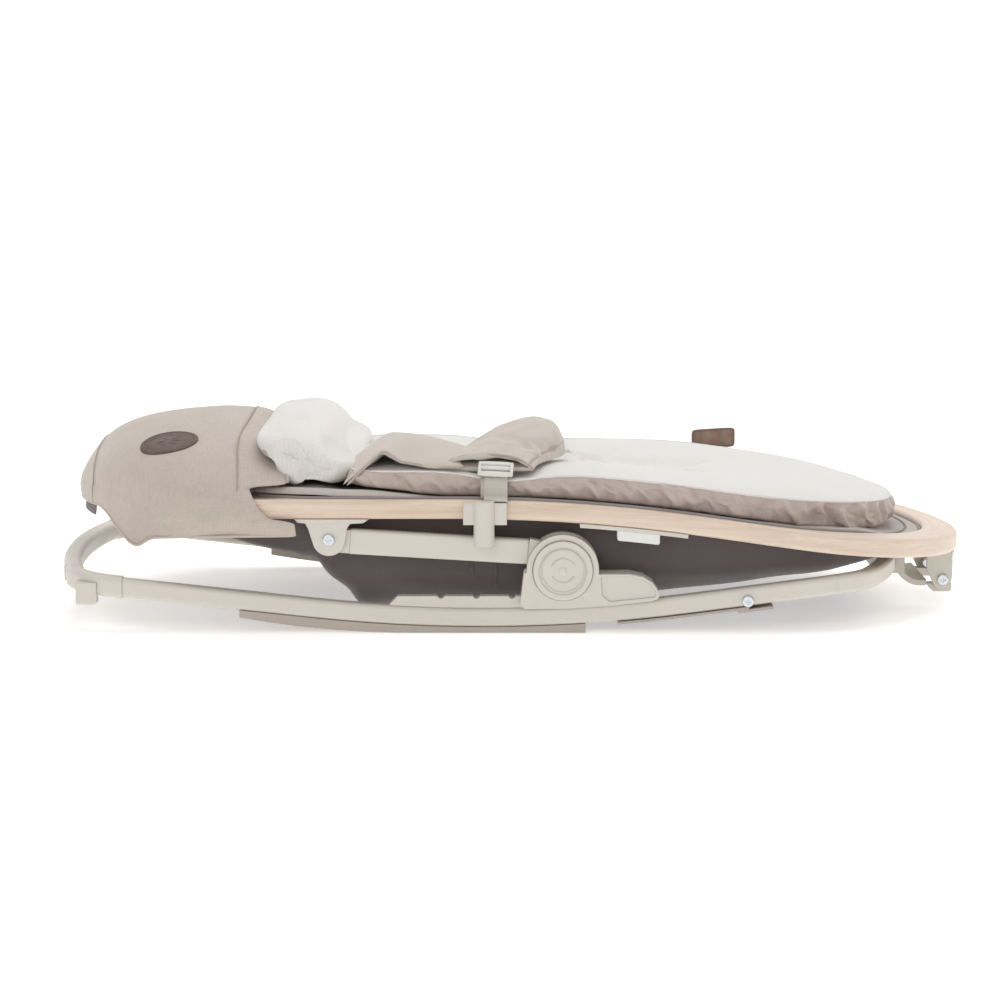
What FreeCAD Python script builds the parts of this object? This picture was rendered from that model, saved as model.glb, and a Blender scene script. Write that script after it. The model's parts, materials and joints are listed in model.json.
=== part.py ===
"""Folded baby bouncer: rocking tube base, two sliding hub carriages with struts, a bent-wood
seat hoop on a front pivot, and the soft seat, hood and harness.  Millimetres, +Z up, +X to
the foot end, origin under the middle of the outline on the floor."""

import FreeCAD, Part
import math
import os

V = FreeCAD.Vector

# Bent lines in XZ: start (x, z, heading in degrees), then (length, turn in degrees) spans.
HOOP_LINE = [(-430.0, 100.7, 0.0), (377.5, 0.0), (220.5, -8.15), (280.0, 0.0)]
BASE_LINE = [(-429.6, 40.36, -6.135), (253.95, 0.0), (330.4, 13.52), (118.0, 0.0), (45.1, -7.385),
             (70.0, 0.0)]

HOOP_THICK = 17.0
HOOP_SIDE = 212.0
HOOP_BAR = 23.0
LIP = 2.0
HOOP_FRONT = (412.0, 235.0, 130.0)
HOOP_REAR = (-387.5, 235.0, 130.0)
HOOP_IN_FRONT = (379.0, 205.0, 110.0)
HOOP_IN_REAR = (-354.5, 205.0, 110.0)

TUBE_SIDE = 206.0
TUBE_WIDE = 16.0
TUBE_TALL = 16.5
TUBE_WALL = 1.5
BASE_FRONT = (354.0, 450.0, 60.0)
BASE_REAR = (-412.0, 900.0, 50.0)
SEAM_REAR = -342.0
SEAM_FRONT = 282.0

HUB = (42.2, 55.9)
HUB_R = 31.4
CAP_R = 26.0
SWING = (-161.3, 82.7)
FOOT_PIVOT = (392.9, 26.1)
SCOOP = (374.0, 45.0)
SCOOP_R = 25.5
STAND_PIVOT = (203.8, 28.1)

STRUT_MID = -199.0
STRUT_TALL = 22.0
STRUT_WIDE = 12.0
STRUT_RISE = 13.4
STRUT_DROP = 1.4
RAIL_TOP = 32.3
RAIL = (-110.5, 118.0)
CARRIAGE = (4.9, 125.8)

CUSHION_LOW = 23.5
CUSHION_HIGH = 43.0
CLOTH = 3.0
WEB_X = -16.25
WEB_THICK = 1.6
STRAP_RIGHT = 135.4
STRAP_LEFT = 127.0
SLIDER_TIP = 38.0


def box(x, y, z):
    """Box between three (low, high) pairs."""
    return Part.makeBox(x[1] - x[0], y[1] - y[0], z[1] - z[0], V(x[0], y[0], z[0]))


def pin(at, radius, y):
    """Cylinder along Y through at = (x, z)."""
    return Part.makeCylinder(radius, y[1] - y[0], V(at[0], y[0], at[1]), V(0, 1, 0))


def post(at, radius, z):
    """Cylinder along Z through at = (x, y)."""
    return Part.makeCylinder(radius, z[1] - z[0], V(at[0], at[1], z[0]))


def side_plate(points, y):
    """XZ outline pulled across y = (low, high)."""
    ring = [V(x, y[0], z) for x, z in points]
    return Part.Face(Part.makePolygon(ring + ring[:1])).extrude(V(0, y[1] - y[0], 0))


def end_plate(points, x):
    """YZ outline pulled along x = (low, high)."""
    ring = [V(x[0], y, z) for y, z in points]
    return Part.Face(Part.makePolygon(ring + ring[:1])).extrude(V(x[1] - x[0], 0, 0))


def mirrored(solid):
    """The same piece on the other side."""
    return solid.mirror(V(0, 0, 0), V(0, 1, 0))


def pair(solid):
    """Both sides' pieces as one group."""
    return Part.makeCompound([solid, mirrored(solid)])


def soften(solid, radius, chosen):
    """Round the edges that chosen(edge) accepts."""
    return solid.makeFillet(radius, [edge for edge in solid.Edges if chosen(edge)])


def heading(edge):
    """Unit direction between an edge's ends."""
    way = edge.Vertexes[-1].Point - edge.Vertexes[0].Point
    return way.normalize() if way.Length > 1e-6 else V(0, 0, 0)


def across(edge):
    """True for an edge that runs along Y."""
    return isinstance(edge.Curve, Part.Line) and abs(heading(edge).y) > 0.999


def lengthwise(edge):
    """True for a loop's long edges, false for the seams across its bar."""
    way = heading(edge)
    return not (isinstance(edge.Curve, Part.Line) and (abs(way.y) > 0.999 or abs(way.z) > 0.9))


def arc(start, middle, end):
    return Part.Arc(start, middle, end).toShape()


def outline(side, front, rear):
    """Plan outline: straight sides at +-side, each end (x, end radius, corner radius)."""
    edges = []
    joins = []
    for sign, (x_end, r_end, r_corner) in ((1, front), (-1, rear)):
        rise = side - r_corner
        reach = math.sqrt((r_end - r_corner) ** 2 - rise ** 2)
        grow = r_end / (r_end - r_corner)
        x_mid = x_end - sign * r_end
        x_corner = x_mid + sign * reach
        x_join = x_mid + sign * reach * grow
        y_join = rise * grow
        half = math.atan2(reach, rise) / 2
        x_bend = x_corner + sign * r_corner * math.sin(half)
        y_bend = rise + r_corner * math.cos(half)
        for flip in (1, -1):
            edges.append(arc(V(x_corner, flip * side, 0), V(x_bend, flip * y_bend, 0),
                             V(x_join, flip * y_join, 0)))
        edges.append(arc(V(x_join, -y_join, 0), V(x_end, 0, 0), V(x_join, y_join, 0)))
        joins.append(x_corner)
    for flip in (1, -1):
        edges.append(Part.makeLine(V(joins[0], flip * side, 0), V(joins[1], flip * side, 0)))
    return Part.Face(Part.Wire(Part.__sortEdges__(edges)))


def prism(face, z=(-60.0, 260.0)):
    """A plan face pulled up between two heights."""
    low = face.copy()
    low.translate(V(0, 0, z[0]))
    return low.extrude(V(0, 0, z[1] - z[0]))


def bent_edges(line, raised):
    """Edges of a bent line moved square to itself by raised."""
    x, z, start = line[0]
    angle = math.radians(start)
    edges = []
    for length, turn in line[1:]:
        marks = []
        for share in (0.0, 0.5, 1.0):
            swing = math.radians(turn) * share
            along = length * share
            up = 0.0
            if turn:
                radius = length / math.radians(turn)
                along = radius * math.sin(swing)
                up = radius * (1 - math.cos(swing))
            here_x = x + along * math.cos(angle) - up * math.sin(angle)
            here_z = z + along * math.sin(angle) + up * math.cos(angle)
            now = angle + swing
            marks.append(V(here_x - raised * math.sin(now), 0, here_z + raised * math.cos(now)))
        edges.append(arc(*marks) if turn else Part.makeLine(marks[0], marks[2]))
        x, z, angle = here_x, here_z, now
    return edges


def band(line, low, high, y=(-240.0, 240.0)):
    """Slab between two offsets from a bent line, pulled across y."""
    under = bent_edges(line, low)
    over = bent_edges(line, high)
    caps = [Part.makeLine(a.Vertexes[i].Point, b.Vertexes[i].Point)
            for a, b, i in ((under[0], over[0], 0), (under[-1], over[-1], -1))]
    face = Part.Face(Part.Wire(Part.__sortEdges__(under + over + caps)))
    face.translate(V(0, y[0], 0))
    return face.extrude(V(0, y[1] - y[0], 0))


def inset_ends(ends, inset):
    """An outline end moved in by inset."""
    x_end, r_end, r_corner = ends
    return (x_end - math.copysign(inset, x_end), r_end - inset, r_corner - inset)


def base_loop(inset):
    """The base tube's closed loop, its faces moved in by inset."""
    outer = outline(TUBE_SIDE - inset, inset_ends(BASE_FRONT, inset), inset_ends(BASE_REAR, inset))
    deep = TUBE_WIDE - inset
    inner = outline(TUBE_SIDE - deep, inset_ends(BASE_FRONT, deep), inset_ends(BASE_REAR, deep))
    ring = prism(outer).cut(prism(inner))
    return ring.common(band(BASE_LINE, inset, TUBE_TALL - inset))


def strut_frame(solid):
    """Place a piece drawn with the strut along +X from the hub onto its rest line."""
    rise = math.degrees(math.atan2(SWING[1] - HUB[1], HUB[0] - SWING[0]))
    solid.rotate(V(0, 0, 0), V(0, 1, 0), 180 + rise)
    solid.translate(V(HUB[0], STRUT_MID, HUB[1]))
    return solid


def screw(at, shaft, y_tip, y_seat):
    """Pan-head cross screw along Y: the head sits at y_seat, facing -Y."""
    head = pin(at, 5.2, (y_seat - 2.6, y_seat))
    head = soften(head, 1.2, lambda edge: abs(edge.CenterOfMass.y - (y_seat - 2.6)) < 0.1)
    x, z = at
    for wide, tall in ((2.6, 0.6), (0.6, 2.6)):
        head = head.cut(box((x - wide, x + wide), (y_seat - 3, y_seat - 1.2), (z - tall, z + tall)))
    return head.fuse(pin(at, shaft, (y_seat, y_tip)))


# ---------------------------------------------------------------- rocking base
def base_nodes():
    solid_loop = soften(base_loop(0.0), 4.0, lengthwise)
    loop = solid_loop.cut(base_loop(TUBE_WALL))
    near = (-240.0, 0.0)
    tall = (-10.0, 90.0)
    stand_hole = pin(STAND_PIVOT, 4.0, (-212.0, -183.0))
    runner = loop.common(box((SEAM_REAR, SEAM_FRONT), near, tall)).cut(stand_hole)
    front = loop.common(box((SEAM_FRONT, 380.0), (-240.0, 240.0), tall))
    rear = loop.common(box((-440.0, SEAM_REAR), (-150.0, 150.0), tall))

    grown = soften(base_loop(-1.0), 4.5, lengthwise)
    shell = grown.common(box((-440.0, SEAM_REAR), (-240.0, -150.0), tall))
    core = base_loop(TUBE_WALL + 0.1)
    spigots = core.common(box((SEAM_REAR - 5, SEAM_REAR + 30), near, tall))
    spigots = spigots.fuse(core.common(box((-440.0, -380.0), (-155.0, -125.0), tall)))
    foot = soften(box((-382.5, -364.5), (-205.0, -191.0), (24.4, 44.0)), 2.5,
                  lambda edge: edge.BoundBox.ZMax < 43.0)
    corner = shell.fuse(spigots).fuse(foot)

    keep = pin((-88.0, 860.0), 860.0, (-205.0, -191.0))
    keep = keep.fuse(box((-88.0, 62.0), (-205.0, -191.0), (0.0, 30.0)))
    pad = band(BASE_LINE, -12.0, 0.0, (-205.0, -191.0))
    pad = pad.common(box((-240.0, 62.0), near, (0.0, 60.0))).common(keep)

    rail = box(RAIL, (-204.0, -192.0), (12.0, RAIL_TOP)).cut(band(BASE_LINE, -20.0, TUBE_TALL))
    rail = rail.cut(side_plate([(-112, 22), (-112, 34), (-100, 34)], near))
    for x in (-64.0, -33.0, -2.0):
        rail = rail.cut(pin((x, RAIL_TOP + 1.0), 3.2, near))

    screws = screw(STAND_PIVOT, 3.95, -183.0, -206.2)

    wide = (-56.0, 56.0)
    clamp = box((333.0, 359.0), wide, (31.0, 50.5))
    scoop = pin(SCOOP, SCOOP_R, wide).cut(pin(SCOOP, SCOOP_R - 5.0, wide))
    scoop = scoop.common(box((340.0, 379.0), wide, (0.0, SCOOP[1])))
    tip = pin(FOOT_PIVOT, 14.0, (-56.0, -43.0)).common(box((370.0, 402.0), near, (14.0, 21.6)))
    cradle = clamp.fuse(scoop).fuse(tip).fuse(mirrored(tip)).cut(solid_loop)
    return {
        "runner_right": runner,
        "runner_left": mirrored(runner),
        "base_front_tube": front,
        "base_rear_tube": rear,
        "rear_corner_right": corner,
        "rear_corner_left": mirrored(corner),
        "rocker_pad_right": pad,
        "rocker_pad_left": mirrored(pad),
        "slide_rail_right": rail,
        "slide_rail_left": mirrored(rail),
        "stand_pivot_screws": pair(screws),
        "foot_cradle": cradle,
    }


def kickstand_nodes():
    width = (-205.5, -183.6)
    wall = (-186.3, -183.6)
    strip = band(BASE_LINE, -2.7, -0.5, width).common(box((90.5, 205.0), (-240.0, 0.0), (0.0, 60.0)))
    tail = band(BASE_LINE, -5.0, -2.6, width).common(box((196.0, 226.0), (-240.0, 0.0), (0.0, 60.0)))
    x, z = STAND_PIVOT
    ear = side_plate([(x - 26, 17.5), (x - 6, z + 5), (x + 6, z + 5), (x + 10, 20.0)], wall)
    ear = ear.fuse(pin(STAND_PIVOT, 8.0, wall))
    stand = strip.fuse(tail).fuse(ear).cut(pin(STAND_PIVOT, 4.0, (-188.0, -180.0)))
    return {"kickstand_right": stand, "kickstand_left": mirrored(stand)}


# ---------------------------------------------------------------- sliding hub carriages
def carriage_nodes():
    x0, x1 = CARRIAGE
    hx, hz = HUB
    outer = (-213.0, -206.4)
    inner = (-191.6, -184.0)
    body = side_plate([(x0 + 4, 22.0), (x0, 26.0), (x0 + 3.5, 53.5), (x0 + 8, 56.0), (hx, 70.0), (73, 52.6),
                       (100, 52.8), (112, 50.4), (120.5, 45.0), (x1, 37.0), (x1, 31.5), (120, 29.0),
                       (80, 24.6), (45, 22.4)], (outer[0], inner[1]))
    body = soften(body, 1.5, across)
    housing = body.fuse(pin(HUB, HUB_R, (outer[0], inner[1])))
    channel = box((x0 - 5, x1 + 5), (outer[1], -189.6), (0.0, RAIL_TOP + 0.5))
    reach = 90.0
    gap = (outer[1] + 0.4, inner[0] - 0.4)
    fan = [(hx, hz)]
    fan += [(hx - reach * math.cos(math.radians(a)), hz + reach * math.sin(math.radians(a)))
            for a in (-12, 0, 20, 40, 60, 80, 100, 126)]
    slot = side_plate(fan, gap).fuse(pin(HUB, 23.0, gap))
    slot = slot.fuse(side_plate([(x0 - 5, 42), (x0 - 5, 70), (hx, 79), (hx, 33.5), (hx - 12, 35)], gap))
    housing = housing.cut(channel).cut(slot)
    housing = housing.cut(pin(HUB, CAP_R + 0.4, (outer[0] - 1, outer[0] + 3.2)))
    housing = housing.cut(pin(HUB, 6.0, (outer[0] - 1, inner[1] + 1)))
    frame = side_plate([(83, 28.6), (76.5, 34), (75, 50.6), (99, 50.6), (110.5, 48.4), (118.5, 43.6),
                        (123, 36.8), (122.5, 32.6)], (outer[0] - 1, outer[0] + 1.2))
    housing = housing.cut(soften(frame, 2.0, across))

    axle = pin(HUB, 5.98, (-209.5, -184.0)).cut(pin(HUB, 3.0, (-210.0, -206.0)))
    cap = pin(HUB, CAP_R, (-216.0, -212.9))
    cap = soften(cap, 1.2, lambda edge: abs(edge.CenterOfMass.y + 216.0) < 0.1)
    groove = pin(HUB, 21.0, (-217.0, -215.5)).cut(pin(HUB, 19.6, (-217.0, -215.5)))
    stem = pin(HUB, 2.6, (-213.0, -210.0))
    cap = cap.cut(groove).fuse(stem)
    return {
        "carriage_right": housing,
        "carriage_left": mirrored(housing),
        "hub_axles": pair(axle),
        "release_button_right": cap,
        "release_button_left": mirrored(cap),
    }


# ---------------------------------------------------------------- lifting struts
def strut_nodes():
    half = STRUT_WIDE / 2
    tall = STRUT_TALL / 2
    run = math.hypot(HUB[0] - SWING[0], SWING[1] - HUB[1])
    tilt = math.degrees(math.atan2(STRUT_RISE + STRUT_DROP, run))

    def tilted(solid):
        """Lean a piece drawn along the tube's own line, which passes above the hub's axis."""
        solid.rotate(V(0, 0, 0), V(0, 1, 0), -tilt)
        solid.translate(V(0, 0, -STRUT_RISE))
        return solid

    tube = box((32.0, run - 18.0), (-half, half), (-tall, tall))
    tube = soften(tube, 3.0, lambda edge: abs(heading(edge).x) > 0.9)
    tube = tilted(tube.cut(box((26.0, run), (1.5 - half, half - 1.5), (1.5 - tall, tall - 1.5))))

    fit = ((1.6 - half, half - 1.6), (1.6 - tall, tall - 1.6))
    neck = side_plate([(-6, -20.0), (31.9, -22.9), (31.9, -0.3), (6, 20.0)], (-half, half))
    neck = neck.common(tilted(box((-60.0, 31.9), (-20, 20), (-60, 60))))
    eye = pin((0, 0), 21.0, (-half, half)).fuse(neck)
    eye = eye.fuse(tilted(box((24.0, 58.0), *fit))).cut(pin((0, 0), 6.05, (-20.0, 20.0)))

    end = pin((run, 0), 11.0, (-half, half))
    end = end.fuse(tilted(box((run - 17.9, run - 1.0), (-half, half), (0.8 - tall, tall - 0.8))))
    end = end.fuse(tilted(box((run - 46.0, run - 14.0), *fit))).cut(pin((run, 0), 4.05, (-20.0, 20.0)))
    nodes = {}
    for name, solid in (("strut_tube", tube), ("strut_hub_eye", eye), ("strut_swing_eye", end)):
        placed = strut_frame(solid)
        nodes[name + "_right"] = placed
        nodes[name + "_left"] = mirrored(placed)
    return nodes


# ---------------------------------------------------------------- seat hoop and its fittings
def hoop_nodes():
    ring = prism(outline(HOOP_SIDE, HOOP_FRONT, HOOP_REAR))
    ring = ring.cut(prism(outline(HOOP_SIDE - HOOP_BAR, HOOP_IN_FRONT, HOOP_IN_REAR)))
    hoop = soften(ring.common(band(HOOP_LINE, 0.0, HOOP_THICK)), 4.0, lengthwise)

    x, z = SWING
    under = 100.7
    flange = side_plate([(x - 30, under), (x - 27, under - 3.0), (x - 16, under - 4.2), (x + 17, under - 4.2),
                         (x + 30, under - 3.4), (x + 35, under)], (-211.0, -189.5))
    ear = side_plate([(x - 21, under - 3), (x + 19.5, under - 3), (x + 16, under - 8), (x + 14.2, z - 2),
                      (x - 14.2, z - 2), (x - 18, under - 8)], (-210.5, -205.5))
    ear = ear.fuse(pin(SWING, 14.2, (-210.5, -205.5)))
    inner = ear.copy()
    inner.translate(V(0, 18.0, 0))
    bracket = flange.fuse(ear).fuse(inner.common(box((-240, 0), (-192.6, -188.0), (50, 101))))
    bracket = bracket.cut(pin(SWING, 4.0, (-215.0, -185.0)))
    swing_screw = screw(SWING, 3.98, -187.6, -210.6)

    rest = band(HOOP_LINE, -3.6, 0.0, (-211.0, -191.0)).common(
        box((57.0, 151.0), (-240.0, 0.0), (40.0, 120.0)))
    bumper = band(HOOP_LINE, -12.5, -3.6, (-208.0, -194.0)).common(
        box((89.5, 126.5), (-240.0, 0.0), (40.0, 120.0)))
    bumper = soften(bumper, 2.0, lambda edge: across(edge) and edge.CenterOfMass.z < 85)

    clip = box((-44.5, -6.4), (-219.0, -212.2), (96.4, 115.6))
    clip = soften(clip, 2.0, lambda edge: edge.CenterOfMass.y < -218.0)
    boss = post((-26.3, -217.5), 9.0, (78.0, 117.2)).cut(box((-60, 10), (-212.2, -200), (70, 120)))
    hook = box((-40.0, -12.0), (-214.0, -205.0), (96.8, 100.4)).cut(band(HOOP_LINE, -0.3, 30.0))
    clip = clip.fuse(boss).fuse(hook)

    fx, fz = FOOT_PIVOT
    hoop_front = prism(outline(HOOP_SIDE - 3, inset_ends(HOOP_FRONT, 3), inset_ends(HOOP_REAR, 3)))
    saddle = band(HOOP_LINE, -4.0, 0.0, (-64.0, 64.0)).common(hoop_front)
    saddle = saddle.common(box((382.0, 420.0), (-80.0, 80.0), (30.0, 80.0)))
    hoop_outside = prism(outline(HOOP_SIDE, HOOP_FRONT, HOOP_REAR))
    lip_outside = prism(outline(HOOP_SIDE + LIP, inset_ends(HOOP_FRONT, -LIP), inset_ends(HOOP_REAR, -LIP)))
    lug = side_plate([(fx - 7, fz - 6.5), (fx - 14.4, 35), (fx - 14.4, 62), (fx + 15, 62), (fx + 13, 46),
                      (fx + 9.8, 31), (fx + 6.0, fz - 6.5), (fx + 3.0, fz - 9.0), (fx - 4.0, fz - 9.0)],
                     (-63.0, -58.0))
    lip = lip_outside.common(box((382.0, 411.5), (-63.0, -40.0), (30.0, 80.0)))
    lip = lip.common(band(HOOP_LINE, -4.0, 8.0))
    lug = lug.common(lip_outside).cut(band(HOOP_LINE, 8.0, 40.0)).fuse(lip)
    lug = lug.cut(hoop_outside.common(band(HOOP_LINE, 0.0, 40.0)))
    lug = lug.cut(pin(FOOT_PIVOT, 4.0, (-80.0, 0.0)))
    front = saddle.fuse(lug).fuse(mirrored(lug))
    foot_screw = screw(FOOT_PIVOT, 3.98, -43.5, -63.1)
    return {
        "wood_hoop": hoop,
        "swing_bracket_right": bracket,
        "swing_bracket_left": mirrored(bracket),
        "swing_screws": pair(swing_screw),
        "rest_plate_right": rest,
        "rest_plate_left": mirrored(rest),
        "rest_bumper_right": bumper,
        "rest_bumper_left": mirrored(bumper),
        "harness_clip_right": clip,
        "harness_clip_left": mirrored(clip),
        "foot_bracket": front,
        "foot_screws": pair(foot_screw),
    }


# ---------------------------------------------------------------- soft seat
def sling_shell(inset):
    """Dark under-seat pouch's outer body, moved in by inset."""
    edge = 182.0
    low = 11.0
    side = [(-256, 125), (-256, 82), (-205, 69), (-191, 66.5), (-189, 63), (-175, 61), (-134, 14), (-40, low),
            (60, 14), (131, 21), (203, 31), (308, 54), (350, 64), (350, 125)]
    cross = [(-edge, 125), (-edge, 82), (-118, low), (118, low), (edge, 82), (edge, 125)]
    body = side_plate(side, (-edge, edge)).common(end_plate(cross, (-300, 400)))
    body = body.common(prism(outline(edge, (368.0, 200.0, 105.0), HOOP_IN_REAR)))
    if inset:
        mid = 60.0
        shrink = FreeCAD.Matrix()
        shrink.scale(1 - 2 * inset / 520.0, 1 - inset / edge, 1.0)
        body = body.transformGeometry(shrink)
        body.translate(V(mid * 2 * inset / 520.0, 0, inset))
    return body


def seat_nodes():
    below_cover = band(HOOP_LINE, -140.0, HOOP_THICK - 0.5)
    pouch = sling_shell(0.0).cut(sling_shell(CLOTH)).common(below_cover)
    floor = pouch.common(box((-300, 400), (-118.0, 118.0), (-10, 130)))
    side = pouch.common(box((-300, 400), (-200.0, -118.0), (-10, 130)))

    cover = band(HOOP_LINE, HOOP_THICK + 0.5, CUSHION_LOW - 0.5).common(
        prism(outline(206.0, (372.0, 210.0, 120.0), (-330.0, 210.0, 120.0))))
    cover = cover.common(box((-212.0, 400.0), (-240, 240), (0, 200)))

    cushion = band(HOOP_LINE, CUSHION_LOW, CUSHION_HIGH).common(
        prism(outline(203.0, (352.0, 214.0, 125.0), (-330.0, 214.0, 125.0))))
    cushion = cushion.common(box((-150.0, 400.0), (-240, 240), (0, 200)))
    for y_side, strap_low in ((-1, STRAP_RIGHT), (1, STRAP_LEFT)):
        y_dent = sorted((y_side * 187.5, y_side * 215.0))
        cushion = cushion.cut(box((-34.0, 2.0), y_dent, (strap_low - 0.5, 150.0)))

    pillow = side_plate([(-194, 124), (-197, 130), (-209.5, 150), (-221, 172), (-214, 179), (-190, 181),
                         (-165, 173), (-146, 158), (-131, 147), (-131, 144.6), (-150.5, 144.6),
                         (-150.5, 124)], (-183.0, 183.0))
    pillow = soften(pillow, 6.0, lambda edge: across(edge) and edge.CenterOfMass.z > 165)
    return {
        "under_sling": floor,
        "sling_side_right": side,
        "sling_side_left": mirrored(side),
        "seat_cover": cover,
        "seat_cushion": cushion,
        "head_pillow": pillow,
        "side_tag": box((177.0, 222.0), (203.6, 205.4), (118.0, 139.0)),
    }


def hood_nodes():
    side = [(-352, 86), (-330, 76), (-290, 82), (-186, 84), (-190, 100), (-213, 103), (-222, 111),
            (-230, 127), (-200, 131), (-212, 150), (-225, 177),
            (-285, 181), (-335, 172), (-372, 157), (-392, 138), (-401.5, 115), (-400, 97)]
    half = [(-221, 70), (-221, 122), (-205, 138), (-170, 150), (-110, 166), (-50, 176)]
    cross = half + [(-y, z) for y, z in reversed(half)]
    shape = side_plate(side, (-221.0, 221.0)).common(end_plate(cross, (-420, -150)))
    shape = shape.common(prism(outline(221.0, (300.0, 240.0, 135.0), (-401.5, 246.0, 140.0))))
    room = outline(HOOP_SIDE + 1.2, (300.0, 236.2, 131.2), (HOOP_REAR[0] - 1.2, 236.2, 131.2))
    hood = shape.cut(prism(room, (0.0, 100.7 + HOOP_THICK + 1.0)))

    slope = math.degrees(math.atan2(166 - 150, 170 - 110))
    patch = Part.makeCylinder(26.0, 1.6)
    patch.rotate(V(0, 0, 0), V(1, 0, 0), slope)
    patch.translate(V(-307.0, -131.0, 160.6))
    return {"hood": hood, "hood_patch": patch}


# ---------------------------------------------------------------- harness
def webbing(low):
    """Right strap from the pad's mouth down into the cushion's dent at height low, over to the clip."""
    width = (WEB_X - 10.25, WEB_X + 10.25)
    web = box(width, (-190.6, -186.5), (145.2, 146.8))
    web = web.fuse(box(width, (-190.6, -189.0), (low, 146.8)))
    web = web.fuse(box(width, (-208.4, -189.0), (low, low + WEB_THICK)))
    web = web.fuse(box(width, (-208.4, -206.8), (118.6, low + WEB_THICK)))
    web = web.fuse(box(width, (-216.8, -206.8), (118.6, 120.2)))
    return web.fuse(box(width, (-216.8, -215.2), (117.3, 120.2)))


def web_slider():
    """Two-slot strap slider about the origin."""
    slider = box((-15.25, 15.25), (-7.5, 7.5), (-2.5, 2.5))
    slider = slider.cut(box((-11.0, 11.0), (-5.5, -1.5), (-5, 5)))
    return slider.cut(box((-11.0, 11.0), (1.5, 5.5), (-5, 5)))


def harness_nodes():
    wing = side_plate([(-58, 144.6), (-58, 158), (-20, 170), (5, 177), (30, 175), (41, 165), (41, 144.6)],
                      (-186.0, -72.0))
    wing = soften(wing, 6.0, lambda edge: across(edge) and edge.CenterOfMass.z > 150)
    far_wing = box((-8.0, 42.0), (72.0, 158.0), (144.6, 152.0))
    arch = side_plate([(-129, 144.6), (-127, 152), (-118, 161), (-100, 166), (-72, 161), (-60.5, 157),
                       (-60.5, 144.6)], (-186.0, -66.0))

    web = webbing(STRAP_RIGHT)
    far_web = mirrored(webbing(STRAP_LEFT))
    slider = web_slider()
    slider.rotate(V(0, 0, 0), V(1, 0, 0), SLIDER_TIP)
    slider.translate(V(WEB_X, -199.0, STRAP_RIGHT + 8.8))
    far_slider = web_slider()
    far_slider.translate(V(WEB_X, 199.0, STRAP_LEFT + 4.6))

    socket = box((-24.0, 24.0), (-20.0, 20.0), (144.6, 153.5))
    socket = soften(socket, 3.0, lambda edge: edge.CenterOfMass.z > 145)
    well = post((0.0, 0.0), 9.5, (148.5, 156.0))
    button = post((0.0, 0.0), 9.1, (151.1, 154.9))
    strap = box((24.4, 41.0), (-10.0, 10.0), (144.6, 146.4))
    return {
        "hip_pad_right": wing,
        "hip_pad_left": far_wing,
        "crotch_pad": arch,
        "webbing_right": web,
        "webbing_left": far_web,
        "web_slider_right": slider,
        "web_slider_left": far_slider,
        "buckle_socket": socket.cut(well),
        "buckle_button": button,
        "crotch_strap": strap,
    }


os.makedirs("parts", exist_ok=True)
for group in (base_nodes, kickstand_nodes, carriage_nodes, strut_nodes, hoop_nodes, seat_nodes,
              hood_nodes, harness_nodes):
    for name, shape in group().items():
        shape.exportStep("parts/" + name + ".step")
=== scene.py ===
"""Finishes the folded baby bouncer: materials for the frame, sewn soft parts, studio and camera."""

import json
import math

import bmesh
import bpy
from mathutils import Matrix, Vector, noise


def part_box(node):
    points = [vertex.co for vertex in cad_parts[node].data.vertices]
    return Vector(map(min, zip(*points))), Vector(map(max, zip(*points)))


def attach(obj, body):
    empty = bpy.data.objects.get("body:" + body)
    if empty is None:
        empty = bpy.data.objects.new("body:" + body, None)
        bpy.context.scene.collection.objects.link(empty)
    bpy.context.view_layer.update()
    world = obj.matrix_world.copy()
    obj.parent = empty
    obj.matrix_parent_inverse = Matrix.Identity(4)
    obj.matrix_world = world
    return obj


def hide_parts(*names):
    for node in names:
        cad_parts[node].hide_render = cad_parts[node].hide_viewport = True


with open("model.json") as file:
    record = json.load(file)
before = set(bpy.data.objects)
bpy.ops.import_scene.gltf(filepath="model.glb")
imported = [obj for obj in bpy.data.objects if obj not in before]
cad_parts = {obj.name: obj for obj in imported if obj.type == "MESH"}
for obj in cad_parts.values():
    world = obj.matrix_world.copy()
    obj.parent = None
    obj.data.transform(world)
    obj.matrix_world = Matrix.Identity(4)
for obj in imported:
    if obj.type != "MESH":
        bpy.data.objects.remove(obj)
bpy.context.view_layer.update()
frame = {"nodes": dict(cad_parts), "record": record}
nodes = frame["nodes"]
scene = bpy.context.scene

SEAT = "seat"

# Camera: where it aims, distance (m), degrees above level, sensor width (mm), focal length over width.
CAMERA_AIM = (-0.0125, 0.0, 0.0917)
CAMERA_REACH = 3.0
CAMERA_TILT = 7.0
SENSOR = 36.0
LENS_RATIO = 3.215

# The wood hoop's underside in XZ: level, then an arc, then a straight slope to the foot end.
HOOP_LEVEL = 0.1007
HOOP_ARC_START = -0.0525
HOOP_ARC_END = 0.1675
HOOP_ARC_R = 1.55


def hoop_under(x):
    """Height of the hoop's underside at x."""
    run = min(max(x - HOOP_ARC_START, 0.0), HOOP_ARC_END - HOOP_ARC_START)
    slope = (HOOP_ARC_END - HOOP_ARC_START) / HOOP_ARC_R
    return HOOP_LEVEL - run * run / (2 * HOOP_ARC_R) - max(x - HOOP_ARC_END, 0.0) * slope


def smooth(a, b, t):
    """0 before a, 1 after b, easing between."""
    t = min(max((t - a) / (b - a), 0.0), 1.0)
    return t * t * (3 - 2 * t)


def mix(a, b, t):
    return a + (b - a) * t


def signed_power(value, power):
    """A power that keeps the sign; below 1 it squares off a circle's sine or cosine."""
    return math.copysign(abs(value) ** power, value)


def round_angles(count):
    """Angles of count even steps round a circle."""
    return [math.tau * k / count for k in range(count)]


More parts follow.
